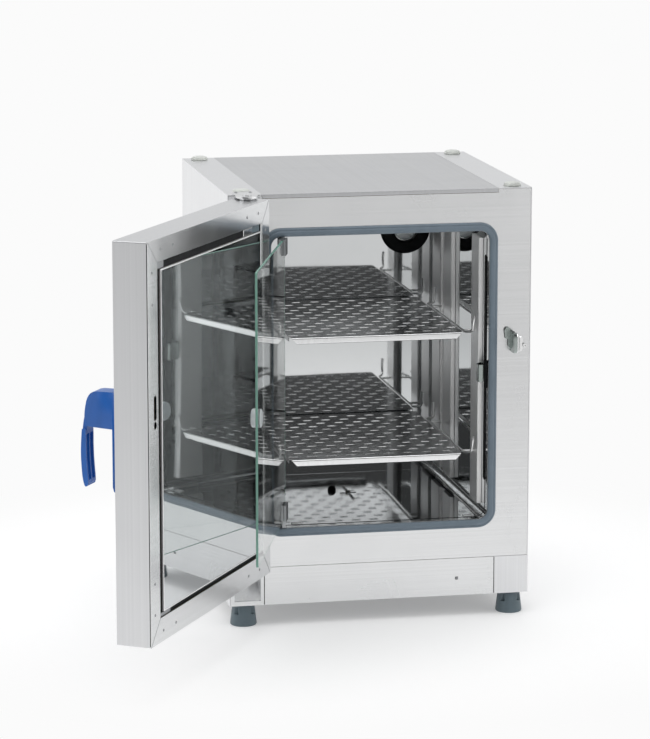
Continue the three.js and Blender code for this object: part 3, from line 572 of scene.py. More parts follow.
# %% Rubber and moulded plastic
def moulded(name, colour, roughness, skin=0.00003, scale=1600.0, worn=None, sheen=0.0, coat=0.0, marks=0.08):
    material, tree, shader = empty_material(name)
    cloud = use(tree, MARKS, Size=22.0)
    edge = use(tree, WEAR, Radius=0.0016)
    worn = worn or tuple(min(1.0, c * 1.5 + 0.01) for c in colour)
    shade = add(tree, "Mix", data_type="RGBA")
    shade.inputs[7].default_value = (*worn, 1)
    dimmed = tuple(c * 0.86 for c in colour)
    tree.links.new(tinted(tree, cloud.outputs["Marks"], colour, dimmed), shade.inputs[6])
    tree.links.new(blended(tree, edge.outputs["Edge"], 0.0, 0.45), shade.inputs["Factor"])
    tree.links.new(shade.outputs[2], shader.inputs["Base Color"])
    tree.links.new(blended(tree, cloud.outputs["Marks"], roughness, roughness + marks),
                   shader.inputs["Roughness"])
    grain = use(tree, SKIN, Scale=scale)
    tree.links.new(raised(tree, grain.outputs["Height"], skin), shader.inputs["Normal"])
    shader.inputs["Sheen Weight"].default_value = sheen
    shader.inputs["Coat Weight"].default_value = coat
    shader.inputs["Coat Roughness"].default_value = 0.12
    return material


gasket_rubber = moulded("gasket_rubber", (0.165, 0.215, 0.262), 0.52, sheen=0.25, skin=0.00005, scale=900.0)
# Black rubber. Its near-pure black is darker than real rubber, which is partly painted shade for the gaps it
# lines. On the wall vent and the peg slots it is all painted shade.
black_rubber = moulded("black_rubber", (0.005, 0.006, 0.007), 0.62)
black_rubber.node_tree.nodes["Principled BSDF"].inputs["Specular IOR Level"].default_value = 0.2
blue_plastic = moulded("blue_plastic", (0.012, 0.128, 0.500), 0.32, coat=0.1, worn=(0.12, 0.27, 0.62))
slate_plastic = moulded("slate_plastic", (0.125, 0.170, 0.195), 0.42)
panel_plastic = moulded("panel_plastic", (0.028, 0.031, 0.035), 0.36)
key_plastic = moulded("key_plastic", (0.62, 0.64, 0.66), 0.40)


# %% Clear and milky plastic
def milky(name, colour, roughness, through):
    material = moulded(name, colour, roughness, skin=0.00001)
    shader = material.node_tree.nodes["Principled BSDF"]
    shader.inputs["Transmission Weight"].default_value = through
    shader.inputs["Subsurface Weight"].default_value = 0.2
    shader.inputs["Subsurface Radius"].default_value = (0.004, 0.004, 0.004)
    shader.inputs["IOR"].default_value = 1.46
    return material


pad_plastic = milky("pad_plastic", (0.86, 0.88, 0.84), 0.28, 0.35)
frosted_plastic = milky("frosted_plastic", (0.80, 0.84, 0.85), 0.34, 0.45)


# %% Glass
def glass(name, tint, roughness, through=1.0):
    """Clear for light that comes from the lamps, so that what is behind the pane isn't in its shade."""
    material, tree, shader = empty_material(name)
    shader.inputs["Base Color"].default_value = (*tint, 1)
    shader.inputs["Transmission Weight"].default_value = through
    shader.inputs["IOR"].default_value = 1.5
    cloud = use(tree, MARKS, Size=7.0)
    tree.links.new(blended(tree, cloud.outputs["Marks"], roughness, roughness + 0.02),
                   shader.inputs["Roughness"])
    clear = add(tree, "BsdfTransparent", Color=(*[0.5 + 0.5 * c for c in tint], 1))
    path = add(tree, "LightPath")
    mix = add(tree, "MixShader")
    out = tree.nodes["Material Output"]
    tree.links.new(path.outputs["Is Shadow Ray"], mix.inputs["Fac"])
    tree.links.new(shader.outputs[0], mix.inputs[1])
    tree.links.new(clear.outputs[0], mix.inputs[2])
    tree.links.new(mix.outputs[0], out.inputs["Surface"])
    return material


pane_glass = glass("pane_glass", (0.965, 0.985, 0.975), 0.0)
pane_edge = glass("pane_edge", (0.24, 0.50, 0.40), 0.16, through=0.3)


# %% Foam, board, heater and display
def foam():
    material, tree, shader = empty_material("insulation_foam")
    where = add(tree, "TexCoord")
    cells = add(tree, "TexVoronoi", Scale=420.0)
    tree.links.new(where.outputs["Object"], cells.inputs["Vector"])
    tree.links.new(tinted(tree, cells.outputs["Distance"], (0.62, 0.50, 0.28), (0.78, 0.68, 0.44)),
                   shader.inputs["Base Color"])
    tree.links.new(raised(tree, cells.outputs["Distance"], 0.0006), shader.inputs["Normal"])
    shader.inputs["Roughness"].default_value = 0.9
    return material


def circuit_board():
    material, tree, shader = empty_material("circuit_board")
    where = add(tree, "TexCoord")
    tracks = add(tree, "TexBrick", Scale=90.0)
    tracks.inputs["Mortar Size"].default_value = 0.06
    tracks.inputs["Color1"].default_value = (0.012, 0.085, 0.030, 1)
    tracks.inputs["Color2"].default_value = (0.016, 0.110, 0.038, 1)
    tracks.inputs["Mortar"].default_value = (0.05, 0.24, 0.09, 1)
    tree.links.new(where.outputs["Object"], tracks.inputs["Vector"])
    tree.links.new(tracks.outputs["Color"], shader.inputs["Base Color"])
    tree.links.new(raised(tree, tracks.outputs["Fac"], 0.00008), shader.inputs["Normal"])
    shader.inputs["Roughness"].default_value = 0.35
    return material


def heat_tinted():
    material, tree, shader = empty_material("heater_sheath")
    cloud = use(tree, MARKS, Size=16.0)
    tree.links.new(tinted(tree, cloud.outputs["Marks"], (0.36, 0.26, 0.19), (0.16, 0.13, 0.20)),
                   shader.inputs["Base Color"])
    tree.links.new(blended(tree, cloud.outputs["Marks"], 0.30, 0.45), shader.inputs["Roughness"])
    shader.inputs["Metallic"].default_value = 1.0
    return material


def dark_window():
    material, tree, shader = empty_material("display_window")
    cloud = use(tree, MARKS, Size=30.0)
    tree.links.new(blended(tree, cloud.outputs["Marks"], 0.05, 0.12), shader.inputs["Roughness"])
    tree.links.new(tinted(tree, cloud.outputs["Marks"], (0.006, 0.010, 0.012), (0.012, 0.016, 0.018)),
                   shader.inputs["Base Color"])
    shader.inputs["Coat Weight"].default_value = 0.6
    return material


def lit_segment():
    material, tree, shader = empty_material("lit_segment")
    cloud = use(tree, MARKS, Size=60.0)
    tree.links.new(tinted(tree, cloud.outputs["Marks"], (0.55, 0.95, 0.90), (0.40, 0.85, 0.82)),
                   shader.inputs["Emission Color"])
    shader.inputs["Emission Strength"].default_value = 1.4
    shader.inputs["Base Color"].default_value = (0.1, 0.3, 0.3, 1)
    return material


foam_material, board_material, heater_material = foam(), circuit_board(), heat_tinted()
window_material, segment_material = dark_window(), lit_segment()
print("materials:", len(bpy.data.materials))

# %% [markdown]
# ## Dressing the frame's own nodes
# Most sheet-metal nodes already have the right shape, and they only need their finish and a small
# edge radius. The imported meshes have a separate corner for each face, so a weld comes before the
# bevel: without it the bevel would find no shared edges. The blue handle keeps its own two nodes too,
# with wider bevels, because moulded plastic has soft edges.

# %% Finishes of the nodes that stay
FINISHES = {
    casing_steel: ("side_casing_left", "side_casing_right", "rear_panel"),
    top_steel_painted_shade: ("top_panel",),
    front_steel: ("front_frame", "plinth_panel", "upper_hinge_plate", "lower_hinge_bracket"),
    door_steel: ("door_frame_top", "door_frame_bottom", "door_frame_hinge", "door_frame_free"),
    skin_steel: ("door_skin",),
    blue_plastic: ("handle_base", "handle_lever"),
    liner_steel: ("chamber_liner", "port_tube"),
    mirror_steel: ("door_mirror_panel",),
    zinc_steel: ("base_plate", "latch_housing", "latch_pawl", "glass_bracket_upper", "glass_bracket_lower",
                 "glass_clamp_upper", "glass_clamp_lower"),
    bright_steel: ("temperature_probe",),
    black_rubber: ("door_gap_seal",),
    panel_plastic: ("control_panel", "power_inlet"),
    frosted_plastic: ("glass_knob", "port_plug"),
    slate_plastic: ("foot_front_left", "foot_front_right", "foot_rear_left", "foot_rear_right"),
    pad_plastic: ("stacking_pad_front_left", "stacking_pad_front_right", "stacking_pad_rear_left",
                  "stacking_pad_rear_right"),
    foam_material: ("insulation", "door_insulation"),
    board_material: ("control_board",),
    heater_material: ("heater_element",),
    window_material: ("display_window",),
}
EDGE_RADIUS = {"door_skin": 0.5, "handle_base": 1.5, "handle_lever": 0.9,
               "side_casing_left": 0.6, "side_casing_right": 0.6, "top_panel": 0.6,
               "foot_front_left": 0.8, "foot_front_right": 0.8, "foot_rear_left": 0.8, "foot_rear_right": 0.8,
               "glass_knob": 1.0, "port_plug": 1.0, "lower_hinge_bracket": 0.8, "upper_hinge_plate": 0.7,
               "front_frame": 0.4, "chamber_liner": 0.2}


def dress(node, material):
    """Gives a frame node its finish, and its edges a small radius, by modifiers only."""
    obj = nodes[node]
    obj.data.materials.clear()
    obj.data.materials.append(material)
    weld = obj.modifiers.new("join corners", "WELD")
    weld.merge_threshold = 0.02 * MM
    if "custom_normal" in obj.data.attributes:
        obj.data.attributes.remove(obj.data.attributes["custom_normal"])
    settle(obj, EDGE_RADIUS.get(node, 0.35))


for material, names in FINISHES.items():
    for node in names:
        dress(node, material)
print("dressed", sum(len(names) for names in FINISHES.values()), "nodes")

# %% [markdown]
# ## Punched shelves
# A shelf is one sheet: punched with rows of long slots, folded down at the back and sides, and
# folded down and forward at the front into a lip whose ends are cut at a slant. The deck is a flat
# outline with slot-shaped holes, pushed to the sheet's thickness. The lip is a bent section drawn
# wide at the top and narrower at the bottom, which gives the slanted ends without any cutting.

# %% Shelves
SLOT_LENGTH, SLOT_WIDTH = 18.0, 8.0
SLOT_ROWS, SLOT_COLUMNS = 13, 9
LIP_DROP = 12.0


def shelf_mesh(node):
    low, high = measured(node)
    deck_top = high.z
    x0, x1 = low.x, high.x
    y0 = low.y + 5.0
    y1 = high.y
    holes = []
    for row in range(SLOT_ROWS):
        cy = y0 + 20 + (y1 - y0 - 40) * row / (SLOT_ROWS - 1)
        shift = 0.22 if row % 2 else -0.22
        for column in range(SLOT_COLUMNS):
            cx = x0 + (x1 - x0) * (column + 0.5 + shift) / SLOT_COLUMNS
            holes.append(stadium(cx, cy, SLOT_LENGTH, SLOT_WIDTH))
    deck = sheet(flat(rounded(x0, y0 + 2, x1, y1, 8)), holes, 1.2, "Z", deck_top - 1.2)
    parts = [deck, shelf_lip(x0, x1, y0, deck_top)]
    parts.append(shelf_fold([(x0 + 6, y1 - 0.4), (x1 - 6, y1 - 0.4)], (0, -1), deck_top))
    parts.append(shelf_fold([(x0 + 0.4, y0 + 14), (x0 + 0.4, y1 - 8)], (1, 0), deck_top))
    parts.append(shelf_fold([(x1 - 0.4, y1 - 8), (x1 - 0.4, y0 + 14)], (-1, 0), deck_top))
    return together(*parts)


def strip_section(line, thickness):
    """A bent strip seen on its edge: a line, and the same line moved sideways by the thickness."""
    inner = []
    for i, (a, b) in enumerate(line):
        before, after = Vector(line[max(0, i - 1)]), Vector(line[min(len(line) - 1, i + 1)])
        along = (after - before).normalized()
        inner.append((a - along.y * thickness, b + along.x * thickness))
    return list(line) + inner[::-1]


def shelf_lip(x0, x1, y0, top):
    """The front fold: over a small radius, down, and a hem rolled back under."""
    line = [(3.0, 0.0)]
    for i in range(7):
        t = math.radians(90 * i / 6)
        line.append((0.4 - 3.0 * math.sin(t), -3.0 + 3.0 * math.cos(t)))
    line.append((-2.6, -LIP_DROP + 2.2))
    for i in range(1, 6):
        t = math.radians(180 * i / 5)
        line.append((-0.6 - 2.0 * math.cos(t), -LIP_DROP + 2.2 - 2.0 * math.sin(t)))
    section = strip_section(line, 0.9)
    rings = []
    for side in (-1, 1):
        ring = []
        for out, down in section:
            slant = 2.0 + 11.0 * min(1.0, max(0.0, -down) / LIP_DROP)
            x = x0 + slant if side < 0 else x1 - slant
            ring.append(Vector((x, y0 + out, top + down)))
        rings.append(ring)
    return carry(rings)


def shelf_fold(line, inward, top, drop=9.0):
    """A plain fold down along one side, thin, with its upper edge under the deck."""
    (ax, ay), (bx, by) = line
    dx, dy = inward
    rings = []
    for x, y in ((ax, ay), (bx, by)):
        rings.append([Vector((x, y, top - 0.6)), Vector((x + dx * 1.0, y + dy * 1.0, top - 0.9)),
                      Vector((x + dx * 1.0, y + dy * 1.0, top - drop)), Vector((x, y, top - drop))])
    return carry(rings)


for level in ("upper", "lower"):
    node = "shelf_" + level
    place("perforated_" + node, shelf_mesh(node), level + "_shelf", shelf_steel,
          stands_for=(node,))
print("shelves:", SLOT_ROWS * SLOT_COLUMNS, "slots each")

# %% [markdown]
# ## Wire supports and wall pilasters
# Each shelf rests on two bent wires that hook into pressed pilasters on the side walls. The wire is
# a round tube along a line with rounded bends, and it rises at the front into a hook that keeps the
# shelf from sliding out. The rear pilaster has a dark channel in which the pegs sit, and the peg slots
# in it are black plates of painted shade.

# %% Wire supports
WIRE_RADIUS = 2.2
mouth = {"x0": measured("chamber_liner")[0].x + 1.2, "x1": measured("chamber_liner")[1].x - 1.2}


def support_mesh(node, right):
    high = measured(node)[1]
    side = 1 if right else -1
    wall = mouth["x1"] - 0.3 if right else mouth["x0"] + 0.3
    under = high.z - 27.0
    inner = wall - side * 28
    line = [(wall - side * 13, high.y - WIRE_RADIUS, under + 29),
            (wall - side * 13, high.y - WIRE_RADIUS, under),
            (inner, high.y - 9, under), (inner, 57, under), (wall - side * 18, 42, under + 3),
            (wall - side * 18, 34, under + 18), (wall - side * 16.5, 33, under + 32)]
    parts = [wire(bent(line, 6.5), WIRE_RADIUS)]
    for y in (70.0, 318.0):
        a, b = sorted((wall - side * 27, wall - side * 8.4))
        parts.append(wire([(a, y, under), (b, y, under)], 2.0))
    return together(*parts)


for level in ("upper", "lower"):
    for side in ("left", "right"):
        node = "support_%s_%s" % (level, side)
        place("wire_" + node, support_mesh(node, side == "right"), "cabinet", rod_steel,
              stands_for=(node,))

# %% Pilasters
def pilaster_mesh(node, right, channel):
    """Pressed strip: a raised face with soft shoulders, and a channel in the rear one."""
    low, high = measured(node)
    wall = high.x if right else low.x
    side = 1 if right else -1
    depth = high.x - low.x
    y0, y1 = low.y, high.y
    profile = [(y0, 0.0), (y0 + 0.6, depth - 2.0), (y0 + 2.4, depth)]
    if channel:
        c0, c1 = 302.0, 334.0
        profile += [(c0 - 2.4, depth), (c0, depth - 1.8), (c0 + 0.4, 2.2), (c1 - 0.4, 2.2), (c1, depth - 1.8),
                    (c1 + 2.4, depth)]
    profile += [(y1 - 2.4, depth), (y1 - 0.6, depth - 2.0), (y1, 0.0)]
    rings = []
    for z in (low.z, high.z):
        rings.append([Vector((wall - side * out, y, z)) for y, out in profile])
    return carry(rings)


for rail in ("front", "rear"):
    for side in ("left", "right"):
        node = "upright_%s_%s" % (side, rail)
        strip = pilaster_mesh(node, side == "right", rail == "rear")
        place("pilaster_%s_%s" % (side, rail), strip, "cabinet", satin_steel, bevel=0.5,
              stands_for=(node,))

# %% Peg slots in the rear channel, as black plates of painted shade
def peg_slot_painted_shade(right):
    """Black plates of painted shade where the openings in the channel's floor are, one above another."""
    low, high = measured("upright_right_rear" if right else "upright_left_rear")
    wall = high.x if right else low.x
    at = wall - 2.5 if right else wall + 2.2
    holes = []
    for i in range(11):
        z = low.z + 22 + i * 43
        holes.append(sheet(stadium(318.0, z, 5.0, 4.9), [], 0.3, "X", at, 0.05))
    return together(*holes)


for right in (False, True):
    name = "peg_slot_painted_shade_" + ("right" if right else "left")
    # Each slot is a thin black plate on the channel floor: painted shade in place of an opening.
    place(name, peg_slot_painted_shade(right), "cabinet", black_rubber)
print("wires, pilasters and slots done")

# %% [markdown]
# ## The gasket and the mouth
# The soft seal round the chamber's mouth is one extruded rubber section: a broad lip with a groove
# beside it and a thin sealing edge. It is carried round the rounded mouth in one piece, as the real
# one is joined only once. Just inside the mouth a black strip cushions the glass door, and a fine
# seam shows where the liner is let into the front.

# %% Gasket
MOUTH_FLOOR, MOUTH_ROOF, MOUTH_CORNER = 173.5, 680.5, 17.0
CORNER_STEPS = 14


def gasket_mesh():
    low, high = measured("chamber_gasket")
    out = low.y
    inner = 0.0
    width = (high.x - low.x) / 2 - (455.5 - 74.5) / 2
    section = [(inner + 0.3, -0.3), (inner + 0.3, -2.4), (1.0, -3.6), (2.4, out + 1.1), (4.2, out + 0.25),
               (6.4, out),
               (8.4, out + 0.2), (9.8, out + 0.9), (10.5, out + 2.2), (11.2, out + 1.6), (12.4, out + 1.4),
               (13.6, out + 2.2), (width - 0.4, -2.8), (width, -1.6), (width, -0.3)]
    return round_frame(section, mouth["x0"], MOUTH_FLOOR, mouth["x1"], MOUTH_ROOF, MOUTH_CORNER, CORNER_STEPS)


place("door_seal_lip", gasket_mesh(), "cabinet", gasket_rubber,
      stands_for=("chamber_gasket",))

# %% Strip, seam and floor tabs inside the mouth
def cushion_strip():
    """Rounded rubber strip on the right cheek of the mouth."""
    low, high = measured("glass_seal_strip")
    y0, y1, depth = 14.0, 31.0, 1.0
    wall = mouth["x1"] - 0.2
    section = [(y0, 0.0), (y0 + 0.6, 0.6), (y0 + 2.4, depth), (y1 - 2.4, depth), (y1 - 0.6, 0.6), (y1, 0.0)]
    rings = []
    for z, share in ((low.z, 0.1), (low.z + 3, 1.0), (high.z - 3, 1.0), (high.z, 0.1)):
        middle = (y0 + y1) / 2
        rings.append([Vector((wall - out * share, middle + (y - middle) * (0.55 + 0.45 * share), z))
                      for y, out in section])
    return carry(rings)


place("cushion_strip", cushion_strip(), "cabinet", black_rubber,
      stands_for=("glass_seal_strip",))
seam = [(-0.45, 17.0), (-0.45, 18.6), (0.1, 18.8), (0.1, 16.8)]
seam_mesh = round_frame(seam, mouth["x0"], MOUTH_FLOOR, mouth["x1"], MOUTH_ROOF, MOUTH_CORNER, CORNER_STEPS)
place("liner_seam", seam_mesh, "cabinet", black_rubber)
floor_z = mouth_low.z + 1.3
tabs = [sheet(flat(rounded(x - 9, 25, x + 9, 33, 2)), [], 1.6, "Z", floor_z, 0.3) for x in (123.0, 428.0)]
place("floor_tabs", together(*tabs), "cabinet", satin_steel)
print("floor tabs stand on the chamber floor at z = %.1f mm" % floor_z)

# %% [markdown]
# ## The rear wall of the chamber
# A wide black grommet rings the bore of the access port, with a bright tube inside it. Low on the
# wall are a small vent, drawn as a black plate of painted shade, and the temperature probe in its
# star-shaped holder. The grommet is turned on the lathe, with the rolled edge that soft rubber has.

# %% Port grommet, vent and probe holder
ring_low, ring_high = measured("port_ring")
port_x, port_z = (ring_low.x + ring_high.x) / 2, (ring_low.z + ring_high.z) / 2
ring_radius = (ring_high.x - ring_low.x) / 2 + 1.0
wall_y = measured("chamber_liner")[1].y - 1.2


def lathe_from_wall(profile, x, z, sides=48):
    """Turned piece on the rear wall: (radius, how far it stands off the wall)."""
    return turned([(r, out) for r, out in profile], (x, wall_y, z), "Y", sides)


bore = 22.8
grommet = [(bore, 0.3), (bore, 9.5), (bore + 0.8, 11.2), (bore + 2.4, 11.8), (bore + 4.2, 10.6),
           (bore + 5.0, 8.2), (ring_radius - 8, 7.6), (ring_radius - 3, 6.2), (ring_radius - 0.6, 3.6),
           (ring_radius, 0.3), (bore, 0.3)]
place("port_grommet", lathe_from_wall(grommet, port_x, port_z), "cabinet", black_rubber,
      stands_for=("port_ring",))
# The vent is a black plate on the wall: painted shade in place of its opening.
vent = sheet(flat(rounded(253.5, 198.5, 268.5, 217.5, 7.0)), [], 1.0, "Y", wall_y - 1.2, 0.25)
place("wall_vent_painted_shade", vent, "cabinet", black_rubber)
probe_low, probe_high = measured("temperature_probe")
probe_x, probe_z = (probe_low.x + probe_high.x) / 2, (probe_low.z + probe_high.z) / 2
star = []
for k in range(16):
    t, reach = math.tau * k / 16, 5.4 if k % 2 == 0 else 2.6
    star.append((probe_x + reach * math.cos(t), probe_z + reach * math.sin(t)))
holder = [sheet(star, [], 0.8, "Y", wall_y - 1.4, 0.2),
          wire([(probe_x - 15, wall_y - 1.4, probe_z), (probe_x + 15, wall_y - 1.4, probe_z)], 0.7)]
place("probe_holder", together(*holder), "cabinet", zinc_steel)
print("rear wall of the chamber at y = %.1f mm" % wall_y)

# %% [markdown]
# ## Rivets and screws
# Blind rivets hold the four inner members of the door: two near each corner on every member. A
# rivet is a low dome with a small dimple. Screws are pan heads with a cross in them: the dome is
# turned with many rings, and the points that fall inside the cross are pushed down. Many copies
# are joined into one piece for each group of fasteners.

# %% Fasteners
def dome_profile(radius, height, dimple=0.0, rings=5):
    points = [(radius, 0.0), (radius, height * 0.25)]
    for i in range(1, rings):
        t = math.radians(90 * i / rings)
        points.append((radius * math.cos(t), height * (0.25 + 0.75 * math.sin(t))))
    if dimple:
        points.append((radius * 0.22, height * 0.95))
        points.append((radius * 0.18, height * 0.95 - dimple))
        points.append((0.0, height * 0.95 - dimple))
    else:
        points.append((0.0, height))
    return points


def screw(centre, way, radius=3.6, height=2.2):
    """A pan head with a cross recess. way is the unit direction in which its head looks."""
    bm = bmesh.new()
    rings, sides = 9, 40
    cross = radius * 0.16
    reach = radius * 0.62
    rows = [[bm.verts.new((0, 0, height * 0.45))]]
    for i in range(1, rings + 1):
        r = radius * i / rings
        crown = height * (1 - 0.35 * (r / radius) ** 3)
        row = []
        for k in range(sides):
            t = math.tau * k / sides
            x, y = r * math.cos(t), r * math.sin(t)
            cut = min(abs(x), abs(y)) < cross and r < reach
            row.append(bm.verts.new((x, y, height * 0.45 if cut else crown)))
        rows.append(row)
    turns = [math.tau * k / sides for k in range(sides)]
    rows.append([bm.verts.new((radius * math.cos(t), radius * math.sin(t), 0)) for t in turns])
    rows.append([bm.verts.new((0, 0, 0))])
    for a, b in zip(rows, rows[1:]):
        for k in range(sides):
            j = (k + 1) % sides
            corners = list(dict.fromkeys([a[k % len(a)], a[j % len(a)], b[j % len(b)], b[k % len(b)]]))
            bm.faces.new(corners)
    mesh = closed_mesh(bm)
    turn = Vector(way).to_track_quat("Z", "Y").to_matrix().to_4x4()
    mesh.transform(Matrix.Translation(centre) @ turn)
    return mesh


# %% Door rivets
RIVET_IN = 17.5
RIVET_STEPS = (50.0, 100.0)
rivets = []
for step in RIVET_STEPS:
    for x in (door_low.x + step, door_high.x - step):
        for z in (door_low.z + RIVET_IN, door_high.z - RIVET_IN):
            rivets.append((x, DOOR_FACE, z))
    for z in (door_low.z + step, door_high.z - step):
        for x in (door_low.x + RIVET_IN, door_high.x - RIVET_IN):
            rivets.append((x, DOOR_FACE, z))
rivet_meshes = []
for spot in rivets:
    mesh = turned([(0.0, 0.0), *dome_profile(2.4, 0.8, 0.3)], (0, 0, 0), "Z", 20)
    turn = Matrix.Rotation(math.radians(-90), 4, "X")
    mesh.transform(Matrix.Translation(spot) @ turn)
    rivet_meshes.append(mesh)
place("door_rivets", together(*rivet_meshes), "outer_door", zinc_steel, DOOR)
print(len(rivets), "rivets in the door")

# %% Cabinet screws
front_screws = [screw((402.0, 0.6, 69.0), (0, -1, 0), 2.6, 1.6)]
place("plinth_screw", together(*front_screws), "cabinet", zinc_steel)
plinth_face = measured("plinth_panel")[0].y
plinth_seams = [sheet([(x - 0.7, 39.0), (x + 0.7, 39.0), (x + 0.7, 104.0), (x - 0.7, 104.0)], [], 0.3, "Y",
                      plinth_face - 0.2, 0.05) for x in (61.0, 469.0)]
place("plinth_seams", together(*plinth_seams), "cabinet", black_rubber)
rear_screws = []
for x in (16.0, 140.0, 265.0, 390.0, WIDTH - 16.0):
    for z in (body_low.z + 12, TOP - 14):
        rear_screws.append(screw((x, DEPTH, z), (0, 1, 0)))
for z in (body_low.z + 190, body_low.z + 370, body_low.z + 550):
    for x in (16.0, WIDTH - 16.0):
        rear_screws.append(screw((x, DEPTH, z), (0, 1, 0)))
for x in (396.5, 443.5):
    rear_screws.append(screw((x, measured("power_inlet")[1].y, 76.0), (0, 1, 0), 2.4, 1.4))
place("rear_screws", together(*rear_screws), "cabinet", zinc_steel)
hinge_top = measured("upper_hinge_plate")[1].z - 1.5
hinge_screws = [screw((x, 0.5, hinge_top - 0.2), (0, 0, 1), 2.6, 1.4) for x in (14.6, 39.0)]
place("hinge_screws", together(*hinge_screws), "cabinet", zinc_steel)
print("cabinet screws:", len(rear_screws) + len(front_screws) + len(hinge_screws))

# %% [markdown]
# ## The door's inner face
# The polished panel in the middle of the door has a bright folded rim, and between the rim and the
# four brushed members runs a dark gap that breaks the path of heat. Two clips and two corner blocks
# sit in that gap, a bright fold closes it on the hinge side, and a black lining covers its bottom.
# Fine seams show where the members meet at a slant. The rim is a thin section carried round the panel.

# %% Panel rim and clips
panel_low, panel_high = measured("door_mirror_panel", DOOR)
rim_section = [(-1.9, DOOR_FACE - 0.6), (-1.9, DOOR_FACE + 0.25), (-1.3, DOOR_FACE + 0.6),
               (-0.2, DOOR_FACE + 0.6), (0.35, DOOR_FACE + 0.1), (0.35, DOOR_FACE - 3.0),
               (-0.2, DOOR_FACE - 3.0)]
rim = round_frame(rim_section, panel_low.x, panel_low.z, panel_high.x, panel_high.z, 3.0, 5)
place("panel_rim", rim, "outer_door", satin_steel, DOOR)


def block(x0, x1, y0, y1, z0, z1):
    """A small solid block with an inset crown on its face, for clips and pads."""
    rings = []
    for y, inset in ((y0, 0.0), (y1 - 0.5, 0.0), (y1, 0.5)):
        rings.append([Vector((x0 + inset, y, z0 + inset)), Vector((x1 - inset, y, z0 + inset)),
                      Vector((x1 - inset, y, z1 - inset)), Vector((x0 + inset, y, z1 - inset))])
    return carry(rings)


top_gap = (panel_high.z + 1.6, measured("door_frame_top", DOOR)[0].z - 0.6)
low_gap = (measured("door_frame_bottom", DOOR)[1].z + 0.6, panel_low.z - 1.6)
hinge_edge = measured("door_frame_hinge", DOOR)[1].x


def in_gap(x0, x1, gap, depth=0.8):
    """A block that sits between two members, a little below their faces."""
    return block(x0, x1, DOOR_FACE - 4.0, DOOR_FACE - depth, gap[0], gap[1])


place("gap_clip_bright", in_gap(82.5, 122.0, top_gap), "outer_door", bright_steel, DOOR,
      bevel=0.4)
place("gap_clip_dark", in_gap(50.0, 81.5, top_gap, 1.4), "outer_door", slate_plastic, DOOR,
      bevel=0.4)
corner_blocks = [in_gap(455.0, 483.0, top_gap, 1.8), in_gap(440.0, 483.0, low_gap, 1.8)]
place("gap_corner_blocks", together(*corner_blocks), "outer_door", zinc_steel, DOOR, bevel=0.3)
free_edge = measured("door_frame_free", DOOR)[0].x
top_edge, low_edge = measured("door_frame_top", DOOR)[0].z, measured("door_frame_bottom", DOOR)[1].z
seal_face = measured("door_gap_seal", DOOR)[1].y
TUCK = 0.6
lining_hole = flat(rounded(panel_low.x - TUCK, panel_low.z - TUCK, panel_high.x + TUCK, panel_high.z + TUCK,
                           3.0, 3))
lining_outline = [(hinge_edge - TUCK, low_edge - TUCK), (free_edge + TUCK, low_edge - TUCK),
                  (free_edge + TUCK, top_edge + TUCK), (hinge_edge - TUCK, top_edge + TUCK)]
lining = sheet(lining_outline, [lining_hole], 0.4, "Y", seal_face + 0.2, 0.1)
place("gap_lining", lining, "outer_door", black_rubber, DOOR)
seams = []
for (xa, za), (xb, zb) in (((door_low.x + 1, door_high.z - 1), (hinge_edge, top_edge)),
                           ((door_high.x - 1, door_high.z - 1), (free_edge, top_edge)),
                           ((door_low.x + 1, door_low.z + 1), (hinge_edge, low_edge)),
                           ((door_high.x - 1, door_low.z + 1), (free_edge, low_edge))):
    seam_outline = [(xa - 0.6, za), (xa + 0.6, za), (xb + 0.6, zb), (xb - 0.6, zb)]
    seams.append(sheet(seam_outline, [], 0.2, "Y", DOOR_FACE + 0.02, 0.04))
place("mitre_seams", together(*seams), "outer_door", zinc_steel, DOOR)
fold = block(hinge_edge + 0.4, panel_low.x - 2.2, DOOR_FACE - 3.0, DOOR_FACE - 0.5, low_gap[0], top_gap[1])
place("panel_hinge_fold", fold, "outer_door", bright_steel, DOOR, bevel=0.3)

# %% Seam along the free edge of the door
edge_seam = sheet([(DOOR_FACE - 2.0, door_low.z + 3), (DOOR_FACE - 0.7, door_low.z + 3),
                   (DOOR_FACE - 0.7, door_high.z - 3), (DOOR_FACE - 2.0, door_high.z - 3)],
                  [], 0.3, "X", door_high.x - 0.1, 0.05)
place("door_edge_seam", edge_seam, "outer_door", black_rubber, DOOR)
print("panel %.0f x %.0f mm" % (panel_high.x - panel_low.x, panel_high.z - panel_low.z))

# %% [markdown]
# ## The striker and the catch
# The striker on the right of the mouth is a bent plate that a pawl in the door grips. The ribbed plate
# lies in the narrow gap between the front and the shut door, and only a thin tongue reaches into the
# door's slot, so nothing is cut through when the door closes. Beside it are a flange and a round stud.
# The catch that holds the glass door is a folded spring clip on a black block.

